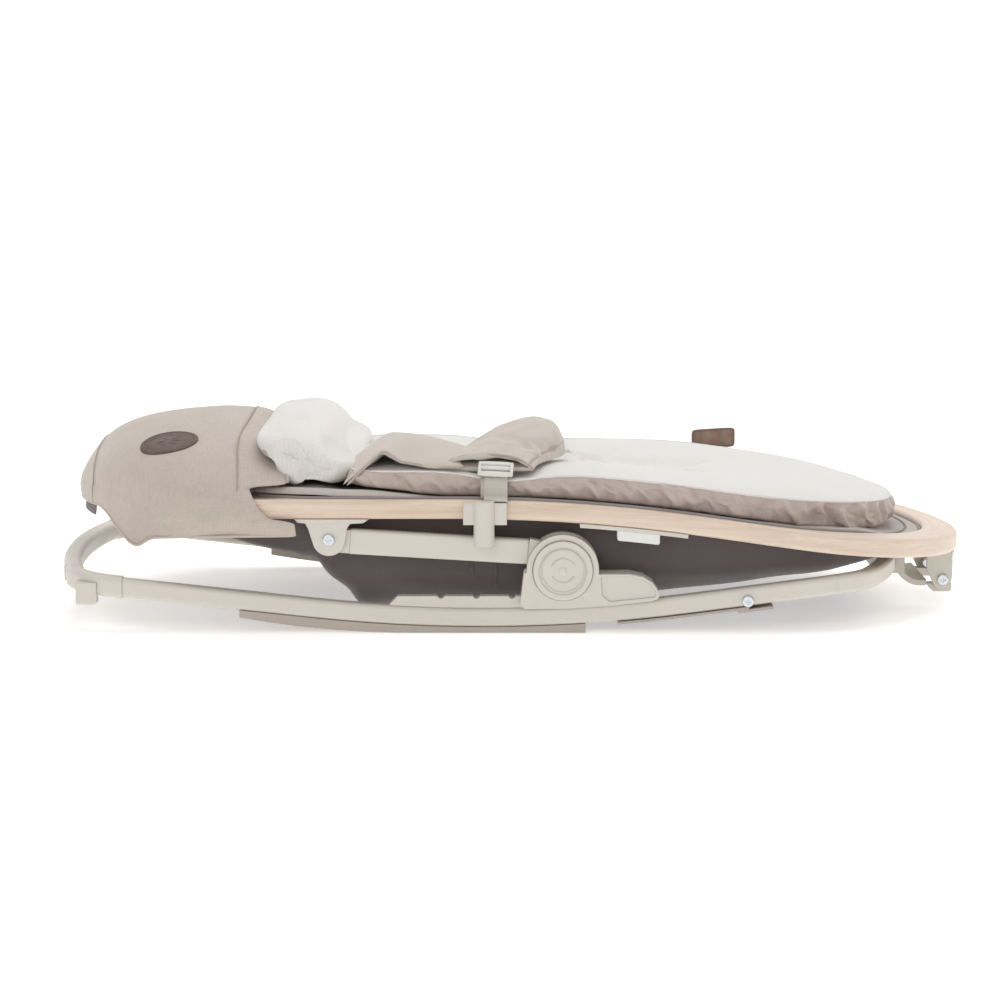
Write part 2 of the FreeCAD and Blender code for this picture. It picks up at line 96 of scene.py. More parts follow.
# ------------------------------------------------------------------ materials
class Shader:
    """A node material under construction."""

    def __init__(self, name, rough, metallic=0.0):
        self.material = bpy.data.materials.new(name)
        self.material.use_nodes = True
        self.tree = self.material.node_tree
        self.surface = self.tree.nodes["Principled BSDF"]
        self.surface.inputs["Roughness"].default_value = rough
        self.surface.inputs["Metallic"].default_value = metallic
        self.place = self.node("ShaderNodeTexCoord").outputs["Object"]
        self.height = None

    def node(self, kind, **settings):
        made = self.tree.nodes.new(kind)
        for key, value in settings.items():
            setattr(made, key, value)
        return made

    def join(self, source, target):
        self.tree.links.new(source, target)

    def feed(self, socket, value):
        if isinstance(value, bpy.types.NodeSocket):
            self.join(value, socket)
        else:
            socket.default_value = value

    def stretched(self, scale, source=None, turn=(0.0, 0.0, 0.0)):
        """Coordinates scaled by axis, after a turn in degrees."""
        mapping = self.node("ShaderNodeMapping")
        mapping.inputs["Scale"].default_value = scale
        mapping.inputs["Rotation"].default_value = [math.radians(a) for a in turn]
        self.join(source or self.place, mapping.inputs["Vector"])
        return mapping.outputs["Vector"]

    def grain(self, scale, detail=3.0, source=None, stretch=None, turn=(0.0, 0.0, 0.0), rough=0.5):
        """Noise value from 0 to 1."""
        texture = self.node("ShaderNodeTexNoise")
        texture.inputs["Scale"].default_value = scale
        texture.inputs["Detail"].default_value = detail
        texture.inputs["Roughness"].default_value = rough
        coords = source or self.place
        if stretch:
            coords = self.stretched(stretch, coords, turn)
        self.join(coords, texture.inputs["Vector"])
        return texture.outputs["Fac"]

    def waves(self, scale, source=None, axis="X", distortion=0.0, turn=None):
        """Parallel sine bands."""
        texture = self.node("ShaderNodeTexWave", bands_direction=axis, wave_profile="SIN")
        texture.inputs["Scale"].default_value = scale
        texture.inputs["Distortion"].default_value = distortion
        texture.inputs["Detail Scale"].default_value = 2.0
        coords = source or self.place
        if turn:
            coords = self.stretched((1, 1, 1), coords, turn)
        self.join(coords, texture.inputs["Vector"])
        return texture.outputs["Fac"]

    def math(self, operation, a, b=0.0, c=0.0):
        made = self.node("ShaderNodeMath", operation=operation)
        for socket, value in zip(made.inputs, (a, b, c)):
            self.feed(socket, value)
        return made.outputs[0]

    def spread(self, value, low, high, out_low=0.0, out_high=1.0):
        made = self.node("ShaderNodeMapRange")
        for key, item in (("Value", value), ("From Min", low), ("From Max", high),
                          ("To Min", out_low), ("To Max", out_high)):
            self.feed(made.inputs[key], item)
        return made.outputs["Result"]

    def tint(self, share, first, second):
        made = self.node("ShaderNodeMix", data_type="RGBA")
        self.feed(made.inputs["Factor"], share)
        for socket, value in ((made.inputs["A"], first), (made.inputs["B"], second)):
            self.feed(socket, value if isinstance(value, bpy.types.NodeSocket) else (*value, 1.0))
        return made.outputs["Result"]

    def colour(self, value):
        self.feed(self.surface.inputs["Base Color"], value)

    def raise_by(self, height, distance, strength=1.0):
        """Adds a bump layer of distance metres."""
        bump = self.node("ShaderNodeBump")
        bump.inputs["Distance"].default_value = distance
        bump.inputs["Strength"].default_value = strength
        self.join(height, bump.inputs["Height"])
        if self.height:
            self.join(self.height, bump.inputs["Normal"])
        self.height = bump.outputs["Normal"]
        self.join(self.height, self.surface.inputs["Normal"])

    def soften_edges(self, radius):
        """Rounds hard CAD edges in shading."""
        bevel = self.node("ShaderNodeBevel", samples=4)
        bevel.inputs["Radius"].default_value = radius
        self.height = bevel.outputs["Normal"]
        self.join(self.height, self.surface.inputs["Normal"])


def moulded(name, pale, deep, rough=0.55, grain=0.00012):
    """Moulded or powder-coated finish: fine skin grain, faint mottling, soft edges."""
    m = Shader(name, rough)
    m.soften_edges(0.0012)
    m.colour(m.tint(m.grain(9.0, 4.0), deep, pale))
    m.raise_by(m.grain(1400.0, 2.0), grain, 0.5)
    m.feed(m.surface.inputs["Roughness"], m.spread(m.grain(60.0, 3.0), 0.3, 0.7, rough - 0.06, rough + 0.06))
    return m.material


def zinc():
    m = Shader("bright_zinc", 0.28, 1.0)
    m.soften_edges(0.0004)
    m.colour(m.tint(m.grain(300.0), (0.55, 0.58, 0.62), (0.78, 0.80, 0.82)))
    m.raise_by(m.grain(900.0, 2.0, stretch=(1, 0.2, 1)), 0.00005, 0.4)
    return m.material


# Half length of the straight spine that the hoop's grain runs round.
SPINE_HALF = 0.188


def ash_wood():
    """Pale lacquered ash; the grain follows the hoop, so it is set by distance from the loop's spine."""
    m = Shader("ash_wood", 0.42)
    m.soften_edges(0.0015)
    split = m.node("ShaderNodeSeparateXYZ")
    m.join(m.place, split.inputs["Vector"])
    x, y, z = split.outputs
    low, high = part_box("wood_hoop")
    middle = (low.x + high.x) / 2
    from_middle = m.math("ABSOLUTE", m.math("SUBTRACT", x, middle))
    beyond = m.math("MAXIMUM", m.math("SUBTRACT", from_middle, SPINE_HALF), 0.0)
    across = m.math("SQRT", m.math("ADD", m.math("MULTIPLY", beyond, beyond), m.math("MULTIPLY", y, y)))
    along = m.math("ADD", x, m.math("MULTIPLY", m.math("ARCTAN2", y, beyond), 0.2))
    lines = m.node("ShaderNodeCombineXYZ")
    m.join(across, lines.inputs["X"])
    m.join(m.math("MULTIPLY", along, 0.045), lines.inputs["Y"])
    m.join(m.math("ADD", z, m.math("MULTIPLY", along, 0.02)), lines.inputs["Z"])
    broad = m.grain(150.0, 4.0, source=lines.outputs["Vector"], rough=0.6)
    fine = m.grain(700.0, 3.0, source=lines.outputs["Vector"], rough=0.7)
    base = m.tint(m.spread(broad, 0.3, 0.68), (0.79, 0.645, 0.52), (0.63, 0.46, 0.335))
    base = m.tint(m.spread(fine, 0.50, 0.72, 0.0, 0.65), base, (0.54, 0.385, 0.275))
    m.colour(m.tint(m.spread(m.grain(4.0, 2.0), 0.35, 0.65, 0.0, 0.4), base, (0.83, 0.71, 0.60)))
    m.raise_by(fine, 0.00012, 0.35)
    m.surface.inputs["Coat Weight"].default_value = 0.12
    m.surface.inputs["Coat Roughness"].default_value = 0.35
    return m.material


def woven(name, pale, deep, thread=0.0007, sheen=0.25, slub=0.5, rough=0.85, raised=0.00018):
    """Plain weave on a piece's own UV map, in metres, with uneven yarns."""
    m = Shader(name, rough)
    uv = m.node("ShaderNodeTexCoord").outputs["UV"]
    count = math.pi / thread / 20.0
    warp = m.waves(count * 2, uv, "X", 0.6)
    weft = m.waves(count * 2, uv, "Y", 0.6)
    yarn_a = m.grain(1.0, 2.0, uv, (1400.0, 90.0, 1.0))
    yarn_b = m.grain(1.0, 2.0, uv, (90.0, 1400.0, 1.0))
    yarn = m.math("MAXIMUM", yarn_a, yarn_b)
    share = m.spread(yarn, 0.45, 0.85, 0.0, slub)
    cloudy = m.spread(m.grain(14.0, 3.0), 0.35, 0.65, 0.0, 0.25)
    m.colour(m.tint(cloudy, m.tint(share, pale, deep), deep))
    weave = m.math("ADD", m.math("MULTIPLY", warp, weft), m.math("MULTIPLY", yarn, 0.8))
    m.raise_by(weave, raised, 0.7)
    m.surface.inputs["Sheen Weight"].default_value = sheen
    m.surface.inputs["Sheen Roughness"].default_value = 0.5
    return m.material


def quilted_jersey(name, pale, deep):
    """Cream jersey with a fine slanting rib."""
    m = Shader(name, 0.88)
    rib = m.waves(100.0, None, "X", 1.2, (0, 0, 34))
    cross = m.waves(100.0, None, "X", 1.2, (0, 0, -34))
    rib = m.math("MULTIPLY", rib, cross)
    m.colour(m.tint(m.spread(rib, 0.0, 0.6, 0.0, 0.35), pale, deep))
    m.raise_by(rib, 0.0004, 0.4)
    m.raise_by(m.grain(1200.0, 2.0), 0.0002, 0.5)
    m.surface.inputs["Sheen Weight"].default_value = 0.3
    return m.material


def satin(name, pale, deep):
    """Soft mauve-beige satin lining with slight lengthwise sheen."""
    m = Shader(name, 0.52)
    m.colour(m.tint(m.spread(m.grain(30.0, 4.0), 0.3, 0.7), deep, pale))
    m.raise_by(m.grain(1.0, 3.0, stretch=(240.0, 240.0, 900.0)), 0.0002, 0.35)
    m.surface.inputs["Sheen Weight"].default_value = 0.35
    m.surface.inputs["Sheen Roughness"].default_value = 0.35
    return m.material


def leather(name, pale, deep):
    m = Shader(name, 0.6)
    cells = m.node("ShaderNodeTexVoronoi")
    cells.inputs["Scale"].default_value = 900.0
    m.join(m.place, cells.inputs["Vector"])
    m.colour(m.tint(m.spread(m.grain(120.0, 4.0), 0.3, 0.7), deep, pale))
    m.raise_by(cells.outputs["Distance"], 0.0002, 0.6)
    return m.material


TUBE = moulded("powder_coat", (0.70, 0.66, 0.59), (0.655, 0.615, 0.545), 0.38, 0.00006)
PLASTIC = moulded("moulded_plastic", (0.69, 0.65, 0.585), (0.65, 0.61, 0.54), 0.5)
TAUPE = moulded("taupe_plastic", (0.50, 0.44, 0.38), (0.44, 0.385, 0.33), 0.55)
WHITE = moulded("white_plastic", (0.82, 0.81, 0.79), (0.78, 0.77, 0.75), 0.4)
ZINC = zinc()
ASH = ash_wood()
HOOD_LINEN = woven("hood_linen", (0.62, 0.54, 0.47), (0.42, 0.355, 0.30), 0.0009, 0.3, 0.85)
# Hood seam cord colour: darker than the linen as painted shade of the seam's groove; the cord itself is the
# real sewn line.
HOOD_SEAM_SHADE = woven("hood_seam", (0.46, 0.39, 0.335), (0.37, 0.31, 0.265), 0.0005, 0.1, 0.4)
LINER_CLOTH = woven("liner_cloth", (0.215, 0.185, 0.180), (0.16, 0.14, 0.135), 0.0007, 0.1, 0.4)
COVER_CLOTH = woven("cover_cloth", (0.575, 0.525, 0.48), (0.46, 0.42, 0.38), 0.0007, 0.2, 0.4)
SLING_CLOTH = woven("sling_cloth", (0.112, 0.090, 0.086), (0.070, 0.057, 0.055), 0.0006, 0.35, 0.4, 0.62)
WEB_CLOTH = woven("webbing_cloth", (0.60, 0.56, 0.50), (0.46, 0.42, 0.37), 0.0012, 0.2, 0.5, 0.7, 0.0003)
TAPE = woven("grey_tape", (0.33, 0.30, 0.285), (0.25, 0.225, 0.21), 0.0008, 0.1, 0.4)
JERSEY = quilted_jersey("cream_jersey", (0.775, 0.755, 0.72), (0.69, 0.665, 0.625))
SATIN = satin("mauve_satin", (0.56, 0.465, 0.415), (0.47, 0.385, 0.34))
HARNESS_CLOTH = woven("harness_cloth", (0.62, 0.545, 0.475), (0.52, 0.45, 0.39), 0.0008, 0.35, 0.35, 0.7)
BROWN = leather("brown_leather", (0.155, 0.105, 0.078), (0.085, 0.058, 0.044))
TAN = leather("tan_leather", (0.35, 0.245, 0.185), (0.25, 0.17, 0.125))
IVORY = moulded("ivory_plastic", (0.76, 0.74, 0.70), (0.71, 0.69, 0.65), 0.45)
BROWN_THREAD = moulded("brown_thread", (0.22, 0.16, 0.12), (0.15, 0.11, 0.085), 0.8)
PIPING = woven("cream_piping", (0.80, 0.77, 0.73), (0.70, 0.67, 0.63), 0.0005, 0.3, 0.3)
# Piping on the harness pads' sewn edges: real cords, coloured darker than the pad cloth as painted shade
# along the seams.
HARNESS_SEAM_SHADE = woven("harness_seam_shade", (0.50, 0.43, 0.375), (0.40, 0.34, 0.295), 0.0005, 0.3, 0.3)

FINISH = {"tube": TUBE, "plastic": PLASTIC, "pad": TAUPE, "stand": TAUPE, "zinc": ZINC, "ash": ASH,
          "bumper": WHITE, "webbing": WEB_CLOTH, "leather": BROWN, "hood": HOOD_LINEN,
          "cover": COVER_CLOTH, "sling": SLING_CLOTH, "cushion": JERSEY, "harness": HARNESS_CLOTH}


def finish_frame():
    """Every CAD node gets its slot's material."""
    for part in frame["record"]["subparts"]:
        piece = nodes[part["node"]]
        for place in piece.material_slots:
            place.material = FINISH[part["material_slot"]]


# ------------------------------------------------------------------ studio
def studio():
    """White paper sweep and soft lamps."""
    rows = []
    for x in (-9.0, 9.0):
        line = [(x, -7.0, 0.0), (x, 1.6, 0.0)]
        line += [(x, 1.6 + 2.4 * math.sin(a), 2.4 * (1 - math.cos(a)))
                 for a in (math.pi / 48 * k for k in range(1, 25))]
        rows.append(line + [(x, 4.0, 6.0)])
    count = len(rows[0])
    sweep_mesh = bpy.data.meshes.new("paper_sweep")
    faces = [(k, k + count, k + count + 1, k + 1) for k in range(count - 1)]
    sweep_mesh.from_pydata(rows[0] + rows[1], [], faces)
    for face in sweep_mesh.polygons:
        face.use_smooth = True
    sweep = bpy.data.objects.new("paper_sweep", sweep_mesh)
    scene.collection.objects.link(sweep)
    paper = Shader("white_paper", 0.95)
    paper.surface.inputs["Base Color"].default_value = (0.92, 0.92, 0.92, 1)
    paper.surface.inputs["Specular IOR Level"].default_value = 0.0
    paper.surface.inputs["Emission Color"].default_value = (1, 1, 1, 1)
    paper.surface.inputs["Emission Strength"].default_value = 0.42
    sweep_mesh.materials.append(paper.material)

    world = bpy.data.worlds.new("studio")
    world.use_nodes = True
    world.node_tree.nodes["Background"].inputs["Color"].default_value = (1, 1, 1, 1)
    world.node_tree.nodes["Background"].inputs["Strength"].default_value = 0.50
    scene.world = world

    def lamp(name, place, aim, size, power):
        light = bpy.data.lights.new(name, "AREA")
        light.shape = "RECTANGLE"
        light.size, light.size_y = size
        light.energy = power
        made = bpy.data.objects.new(name, light)
        made.location = place
        made.rotation_euler = (Vector(aim) - Vector(place)).to_track_quat("-Z", "Y").to_euler()
        scene.collection.objects.link(made)

    lamp("overhead", (0.1, 0.2, 2.2), (0, 0, 0), (2.4, 1.6), 22)
    lamp("front_fill", (-0.9, -2.6, 1.1), (0, 0, 0.05), (1.6, 1.0), 9)
    lamp("side_rim", (2.2, 0.6, 0.9), (0, 0, 0.1), (0.8, 1.2), 5)


def camera():
    """Product view of the seat's right side."""
    aim = Vector(CAMERA_AIM)
    tilt = math.radians(CAMERA_TILT)
    reach = CAMERA_REACH
    view = bpy.data.cameras.new("camera")
    view.lens = SENSOR * LENS_RATIO
    view.sensor_width = SENSOR
    made = bpy.data.objects.new("camera", view)
    made.location = aim + Vector((0, -reach * math.cos(tilt), reach * math.sin(tilt)))
    made.rotation_euler = (math.pi / 2 - tilt, 0, 0)
    scene.collection.objects.link(made)
    scene.camera = made
    scene.view_settings.view_transform = "Standard"


# ------------------------------------------------------------------ mesh building
def place(name, mesh, finish, body=SEAT):
    """A new piece with its materials, riding on a body."""
    for material in finish:
        mesh.materials.append(material)
    made = bpy.data.objects.new(name, mesh)
    scene.collection.objects.link(made)
    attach(made, body)
    return made


def between(pairs, t):
    """Value at t on a line through (t, value) pairs."""
    if t <= pairs[0][0]:
        return pairs[0][1]
    for (t0, a), (t1, b) in zip(pairs, pairs[1:]):
        if t <= t1:
            return mix(a, b, (t - t0) / (t1 - t0))
    return pairs[-1][1]


def running(points):
    """Distance along a run of points."""
    total = [0.0]
    for a, b in zip(points, points[1:]):
        total.append(total[-1] + (Vector(b) - Vector(a)).length)
    return total


def lay_out(rows, wrap):
    """Cloth coordinates in metres for a grid, from its middle row and column."""
    middle = rows[len(rows) // 2]
    along = running(list(middle) + ([middle[0]] if wrap else []))
    down = running([row[len(row) // 2] for row in rows])
    return [[(a, d) for a in along] for d in down]


def cloth_mesh(name, grids, finish, wrap=False, face_finish=None, body=SEAT):
    """A smooth mesh from grids of points, merged where they meet; wrap joins each row's ends.

    Each grid is (rows, cloth coordinates or None); face_finish(row, column) picks the material.
    """
    points, faces, marks, slots = [], [], [], []
    for rows, cloth in grids:
        base = len(points)
        count = len(rows[0])
        cloth = cloth or lay_out(rows, wrap)
        points += [tuple(p) for row in rows for p in row]
        for i in range(len(rows) - 1):
            for j in range(count if wrap else count - 1):
                k = (j + 1) % count
                faces.append([base + i * count + j, base + i * count + k,
                              base + (i + 1) * count + k, base + (i + 1) * count + j])
                marks.append([cloth[i][j], cloth[i][j + 1], cloth[i + 1][j + 1], cloth[i + 1][j]])
                slots.append(face_finish(i, j) if face_finish else 0)
    mesh = bpy.data.meshes.new(name)
    mesh.from_pydata(points, [], faces)
    layer = mesh.uv_layers.new(name="cloth")
    for face, corners, slot in zip(mesh.polygons, marks, slots):
        face.use_smooth = True
        face.material_index = slot
        for loop, at in zip(face.loop_indices, corners):
            layer.data[loop].uv = at
    tidy = bmesh.new()
    tidy.from_mesh(mesh)
    bmesh.ops.remove_doubles(tidy, verts=tidy.verts, dist=0.00015)
    bmesh.ops.dissolve_degenerate(tidy, edges=tidy.edges, dist=0.00001)
    bmesh.ops.recalc_face_normals(tidy, faces=tidy.faces)
    centre = sum((v.co for v in tidy.verts), Vector()) / len(tidy.verts)
    if sum(f.normal.dot(f.calc_center_median() - centre) * f.calc_area() for f in tidy.faces) < 0:
        bmesh.ops.reverse_faces(tidy, faces=tidy.faces)
    tidy.to_mesh(mesh)
    tidy.free()
    return place(name, mesh, finish, body)


def cord_line(name, points, radius, finish, closed=False, body=SEAT):
    """A thin sewn line, such as piping or a rolled hem, as a tube mesh."""
    sides = 8
    rings = []
    total = len(points)
    for i, point in enumerate(points):
        before = Vector(points[(i - 1) % total if closed else max(i - 1, 0)])
        after = Vector(points[(i + 1) % total if closed else min(i + 1, total - 1)])
        way = (after - before).normalized()
        side = way.cross(Vector((0, 0, 1)))
        side = side.normalized() if side.length > 0.05 else way.cross(Vector((0, 1, 0))).normalized()
        up = side.cross(way)
        ends = 1.0 if closed or 0 < i < total - 1 else 0.35
        rings.append([Vector(point) + radius * ends * (math.cos(a) * side + math.sin(a) * up)
                      for a in round_angles(sides)])
    if closed:
        rings.append(rings[0])
    else:
        first, last = ([sum(ring, Vector()) / sides] * sides for ring in (rings[0], rings[-1]))
        rings = [first] + rings + [last]
    return cloth_mesh(name, [(rings, None)], [finish], wrap=True, body=body)


def stitch_line(name, points, finish, outward, body=SEAT, pitch=0.0042, radius=0.00042):
    """A run of separate stitches lying on the cloth."""
    length = running(points)[-1]
    fine = resampled(points, max(int(length / pitch) * 4 + 1, 5), False)
    grids = []
    for k in range(0, len(fine) - 4, 4):
        run = [fine[k], fine[k + 1], fine[k + 2]]
        way = (run[2] - run[0]).normalized()
        up = outward(run[1])
        side = way.cross(up).normalized()
        rings = []
        for at, wide, high in ((run[0], 0.4, -0.6), (run[1], 1.0, 0.5), (run[2], 0.4, -0.6)):
            centre = at + up * (radius * high)
            rings.append([centre + radius * wide * (math.cos(a) * side + math.sin(a) * up)
                          for a in round_angles(6)])
        grids.append((rings, None))
    return cloth_mesh(name, grids, [finish], wrap=True, body=body)


def resampled(points, count, closed=True):
    """The same line through evenly spaced points."""
    line = list(points) + ([points[0]] if closed else [])
    marks = running(line)
    out = []
    at = 0
    steps = count if closed else count - 1
    for k in range(count):
        goal = marks[-1] * k / steps
        while at < len(marks) - 2 and marks[at + 1] < goal:
            at += 1
        span = marks[at + 1] - marks[at]
        share = (goal - marks[at]) / span if span else 0.0
        out.append(Vector(line[at]).lerp(Vector(line[at + 1]), share))
    return out


def eased(points, rounds=3, closed=False):
    """A line with its corners rounded by repeated corner cutting."""
    line = [Vector(p) for p in points]
    for _ in range(rounds):
        cut = []
        pairs = list(zip(line, line[1:] + line[:1])) if closed else list(zip(line, line[1:]))
        for a, b in pairs:
            cut += [a.lerp(b, 0.25), a.lerp(b, 0.75)]
        line = cut if closed else [line[0]] + cut + [line[-1]]
    return line


def plan_loop(side, front, rear, count):
    """Plan points round a straight-sided loop; each end is (x, end radius, corner radius)."""
    loop = []
    for sign, (x_end, r_end, r_corner) in ((1, front), (-1, rear)):
        rise = side - r_corner
        reach = math.sqrt((r_end - r_corner) ** 2 - rise ** 2)
        centre = x_end - sign * r_end
        lean = math.atan2(rise, reach)
        half = []
        for k in range(24):
            a = mix(math.pi / 2, lean, k / 24)
            half.append((centre + sign * (reach + r_corner * math.cos(a)), rise + r_corner * math.sin(a), 0))
        for k in range(33):
            a = mix(lean, 0.0, k / 32)
            half.append((centre + sign * r_end * math.cos(a), r_end * math.sin(a), 0))
        other = [(x, -y, z) for x, y, z in reversed(half[:-1])]
        turn = half + other
        loop += turn if sign == 1 else [(x, -y, z) for x, y, z in turn]
    front_middle = 56
    return resampled(loop[front_middle:] + loop[:front_middle], count)


def toward_spine(point, inset, back, ahead):
    """A plan point moved in by inset towards the loop's spine between x = back and ahead."""
    spine = Vector((min(max(point.x, back), ahead), 0, 0))
    gap = (spine - point).length
    return point.lerp(spine, min(inset / gap, 1.0)) if gap > 1e-6 else spine


def swell(piece, pressure, cap, free=None, grow=0.0, frames=20, bend=0.5):
    """Inflates a padded piece by cloth simulation, moving no vertex more than cap; free is the pin group."""
    start = [v.co.copy() for v in piece.data.vertices]
    cloth = piece.modifiers.new("swell", "CLOTH")
    how = cloth.settings
    how.quality = 6
    how.mass = 0.15
    how.tension_stiffness = 20
    how.compression_stiffness = 20
    how.shear_stiffness = 8
    how.bending_stiffness = bend
    how.use_pressure = pressure > 0
    how.uniform_pressure_force = pressure
    how.effector_weights.gravity = 0.0
    how.shrink_min = -grow
    if free:
        how.vertex_group_mass = free
    cloth.collision_settings.use_collision = False
    cloth.point_cache.frame_end = frames
    for step in range(1, frames + 1):
        scene.frame_set(step)
    settled = piece.evaluated_get(bpy.context.evaluated_depsgraph_get()).to_mesh()
    ends = [v.co.copy() for v in settled.vertices]
    piece.modifiers.remove(cloth)
    for vertex, old, new in zip(piece.data.vertices, start, ends):
        shift = new - old
        if shift.length > cap:
            shift *= cap / shift.length
        vertex.co = old + shift
    scene.frame_set(1)


def nudge(piece, how_far):
    """Moves each vertex along its normal by how_far(co)."""
    piece.data.update()
    normals = [v.normal.copy() for v in piece.data.vertices]
    for vertex, normal in zip(piece.data.vertices, normals):
        vertex.co += normal * how_far(vertex.co)


def refine(piece, levels=1, thick=0.0):
    """Gives cloth its thickness, inwards, and smooths it."""
    if thick:
        skin = piece.modifiers.new("thickness", "SOLIDIFY")
        skin.thickness = thick
        skin.offset = -1.0
    smoother = piece.modifiers.new("smooth", "SUBSURF")
    smoother.levels = levels
    smoother.render_levels = levels


def pin_group(piece, name, loose):
    """A pin group: loose(co) sets how much each vertex is let go."""
    group = piece.vertex_groups.new(name=name)
    for vertex in piece.data.vertices:
        group.add([vertex.index], 1.0 - loose(vertex.co), "REPLACE")
    return name


def flow(x, y, z, a=1.0, b=1.0, c=1.0):
    """Smooth noise, scaled by axis."""
    return noise.noise(Vector((x * a, y * b, z * c)))


# ------------------------------------------------------------------ seat cushion
CUSHION_SIDE = 0.199
CUSHION_FRONT = (0.350, 0.214, 0.125)
CUSHION_REAR = (-0.150, 2.0, 0.024)
SEAM_RISE = 0.0405
CUSHION_FOOT = 0.0180


def pressed(x, y):
    """How far the straps pull the cushion down: a dent at each edge, and a broad sag on the far side."""
    dent = (0.0075 if y < 0 else 0.0055) * math.exp(-((x + 0.008) / 0.038) ** 2) * smooth(0.10, 0.19, abs(y))
    return dent + 0.0088 * smooth(-0.02, 0.15, y) * (1 - smooth(0.04, 0.19, x))


def cushion_top(x, y, inset):
    """Height of the cushion's top above the hoop's underside."""
    crown = mix(0.003, 0.009, smooth(0.12, 0.30, x))
    dish = 0.006 * smooth(0.05, 0.19, inset) * (1 - smooth(0.2, 0.33, x))
    return SEAM_RISE + crown * (1 - math.exp(-inset / 0.022)) - dish - pressed(x, y)


def cushion_foot(x):
    """Height of the cushion's bottom edge above the hoop's underside; it lifts at the head end."""
    return CUSHION_FOOT + 0.0075 * smooth(0.055, 0.135, -x) - 0.0040 * smooth(0.20, 0.33, x)


def seat_cushion():
    loop = plan_loop(CUSHION_SIDE, CUSHION_FRONT, CUSHION_REAR, 460)
    back, ahead = CUSHION_REAR[0] + 0.199, CUSHION_FRONT[0] - CUSHION_FRONT[1]
    band_steps = 12
    stations = [(0.16, 0.0), (0.06, 0.0), (0.022, 0.0)]
    for k in range(band_steps + 1):
        share = k / band_steps
        bulge = 0.0065 * math.sin(math.pi * share) ** 0.8
        stations.append((0.006 * (1 - share) - bulge, 0.02 + 0.98 * share))
    seam_row = len(stations) - 1
    insets = [0.0012, 0.003, 0.006, 0.010, 0.015, 0.021, 0.028, 0.038, 0.05, 0.065]
    stations += [(inset, None) for inset in insets]
    inner = insets[-1]
    stations += [(inner + share, None) for share in (0.12, 0.26, 0.42, 0.58, 0.72, 0.84, 0.93, 1.0)]
    rows = []
    for inset, share in stations:
        row = []
        for point in loop:
            spot = toward_spine(point, min(inset, inner) if share is None else inset, back, ahead)
            if share is None:
                deep = max(inset - inner, 0.0)
                middle = toward_spine(point, 1.0, back, ahead)
                spot = spot.lerp(middle, deep)
                up = cushion_top(spot.x, spot.y, (spot - point).length)
            else:
                up = mix(cushion_foot(spot.x), SEAM_RISE - pressed(spot.x, spot.y), share)
            row.append(Vector((spot.x, spot.y, hoop_under(spot.x) + up)))
        rows.append(row)
    seam = [p.copy() for p in rows[seam_row]]
    cushion = cloth_mesh("seat_cushion_soft", [(rows, None)], [JERSEY, SATIN], wrap=True,
                         face_finish=lambda i, j: 1 if i < seam_row else 0)

    def share_up(co):
        foot = cushion_foot(co.x)
        return (co.z - hoop_under(co.x) - foot) / (SEAM_RISE - pressed(co.x, co.y) - foot)

    def loose(co):
        share = share_up(co)
        return smooth(0.02, 0.2, share) * (1 - smooth(0.9, 0.985, share))

    def gather(co):
        share = share_up(co)
        band = smooth(0.0, 0.3, share) * (1 - smooth(0.72, 0.98, share))
        lean = co.x + 0.8 * co.z
        fold = flow(lean, co.y, co.z, 62.0, 8.0, 16.0)
        fine = flow(lean, co.y, co.z, 150.0, 20.0, 34.0)
        strength = mix(0.4, 1.45, smooth(-0.1, 0.15, co.x))
        tuck = 0.0035 * math.exp(-((co.x + 0.095 + 0.6 * (co.z - 0.128)) / 0.004) ** 2)
        return band * (strength * (0.0046 * (abs(fold) * 2 - 0.7) + 0.0016 * fine) - tuck)

    nudge(cushion, gather)
    swell(cushion, 0.0, 0.006, pin_group(cushion, "band", loose), 0.10, 14, 0.05)

    def top_softness(co):
        share = share_up(co)
        near_seam = smooth(1.0, 1.06, share) * (1 - smooth(1.1, 1.25, share))
        soft = 0.0012 * flow(co.x, co.y, 0.3, 14.0, 11.0) * smooth(1.0, 1.06, share)
        return soft + 0.0008 * near_seam * flow(co.x - 0.8 * co.y, co.y, 0.3, 110.0, 20.0)

    nudge(cushion, top_softness)
    refine(cushion)
    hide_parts("seat_cushion")
    cord_line("cushion_piping", seam, 0.0009, PIPING, closed=True)


# ------------------------------------------------------------------ head pillow
PILLOW_SECTION = [(-0.203, 0.1255), (-0.2175, 0.143), (-0.2265, 0.159), (-0.2275, 0.1680), (-0.2165, 0.1740),
                  (-0.199, 0.1762), (-0.182, 0.1738), (-0.166, 0.1665), (-0.148, 0.1535), (-0.136, 0.1440),
                  (-0.134, 0.137), (-0.146, 0.1275), (-0.177, 0.1240)]
PILLOW_HALF = 0.188


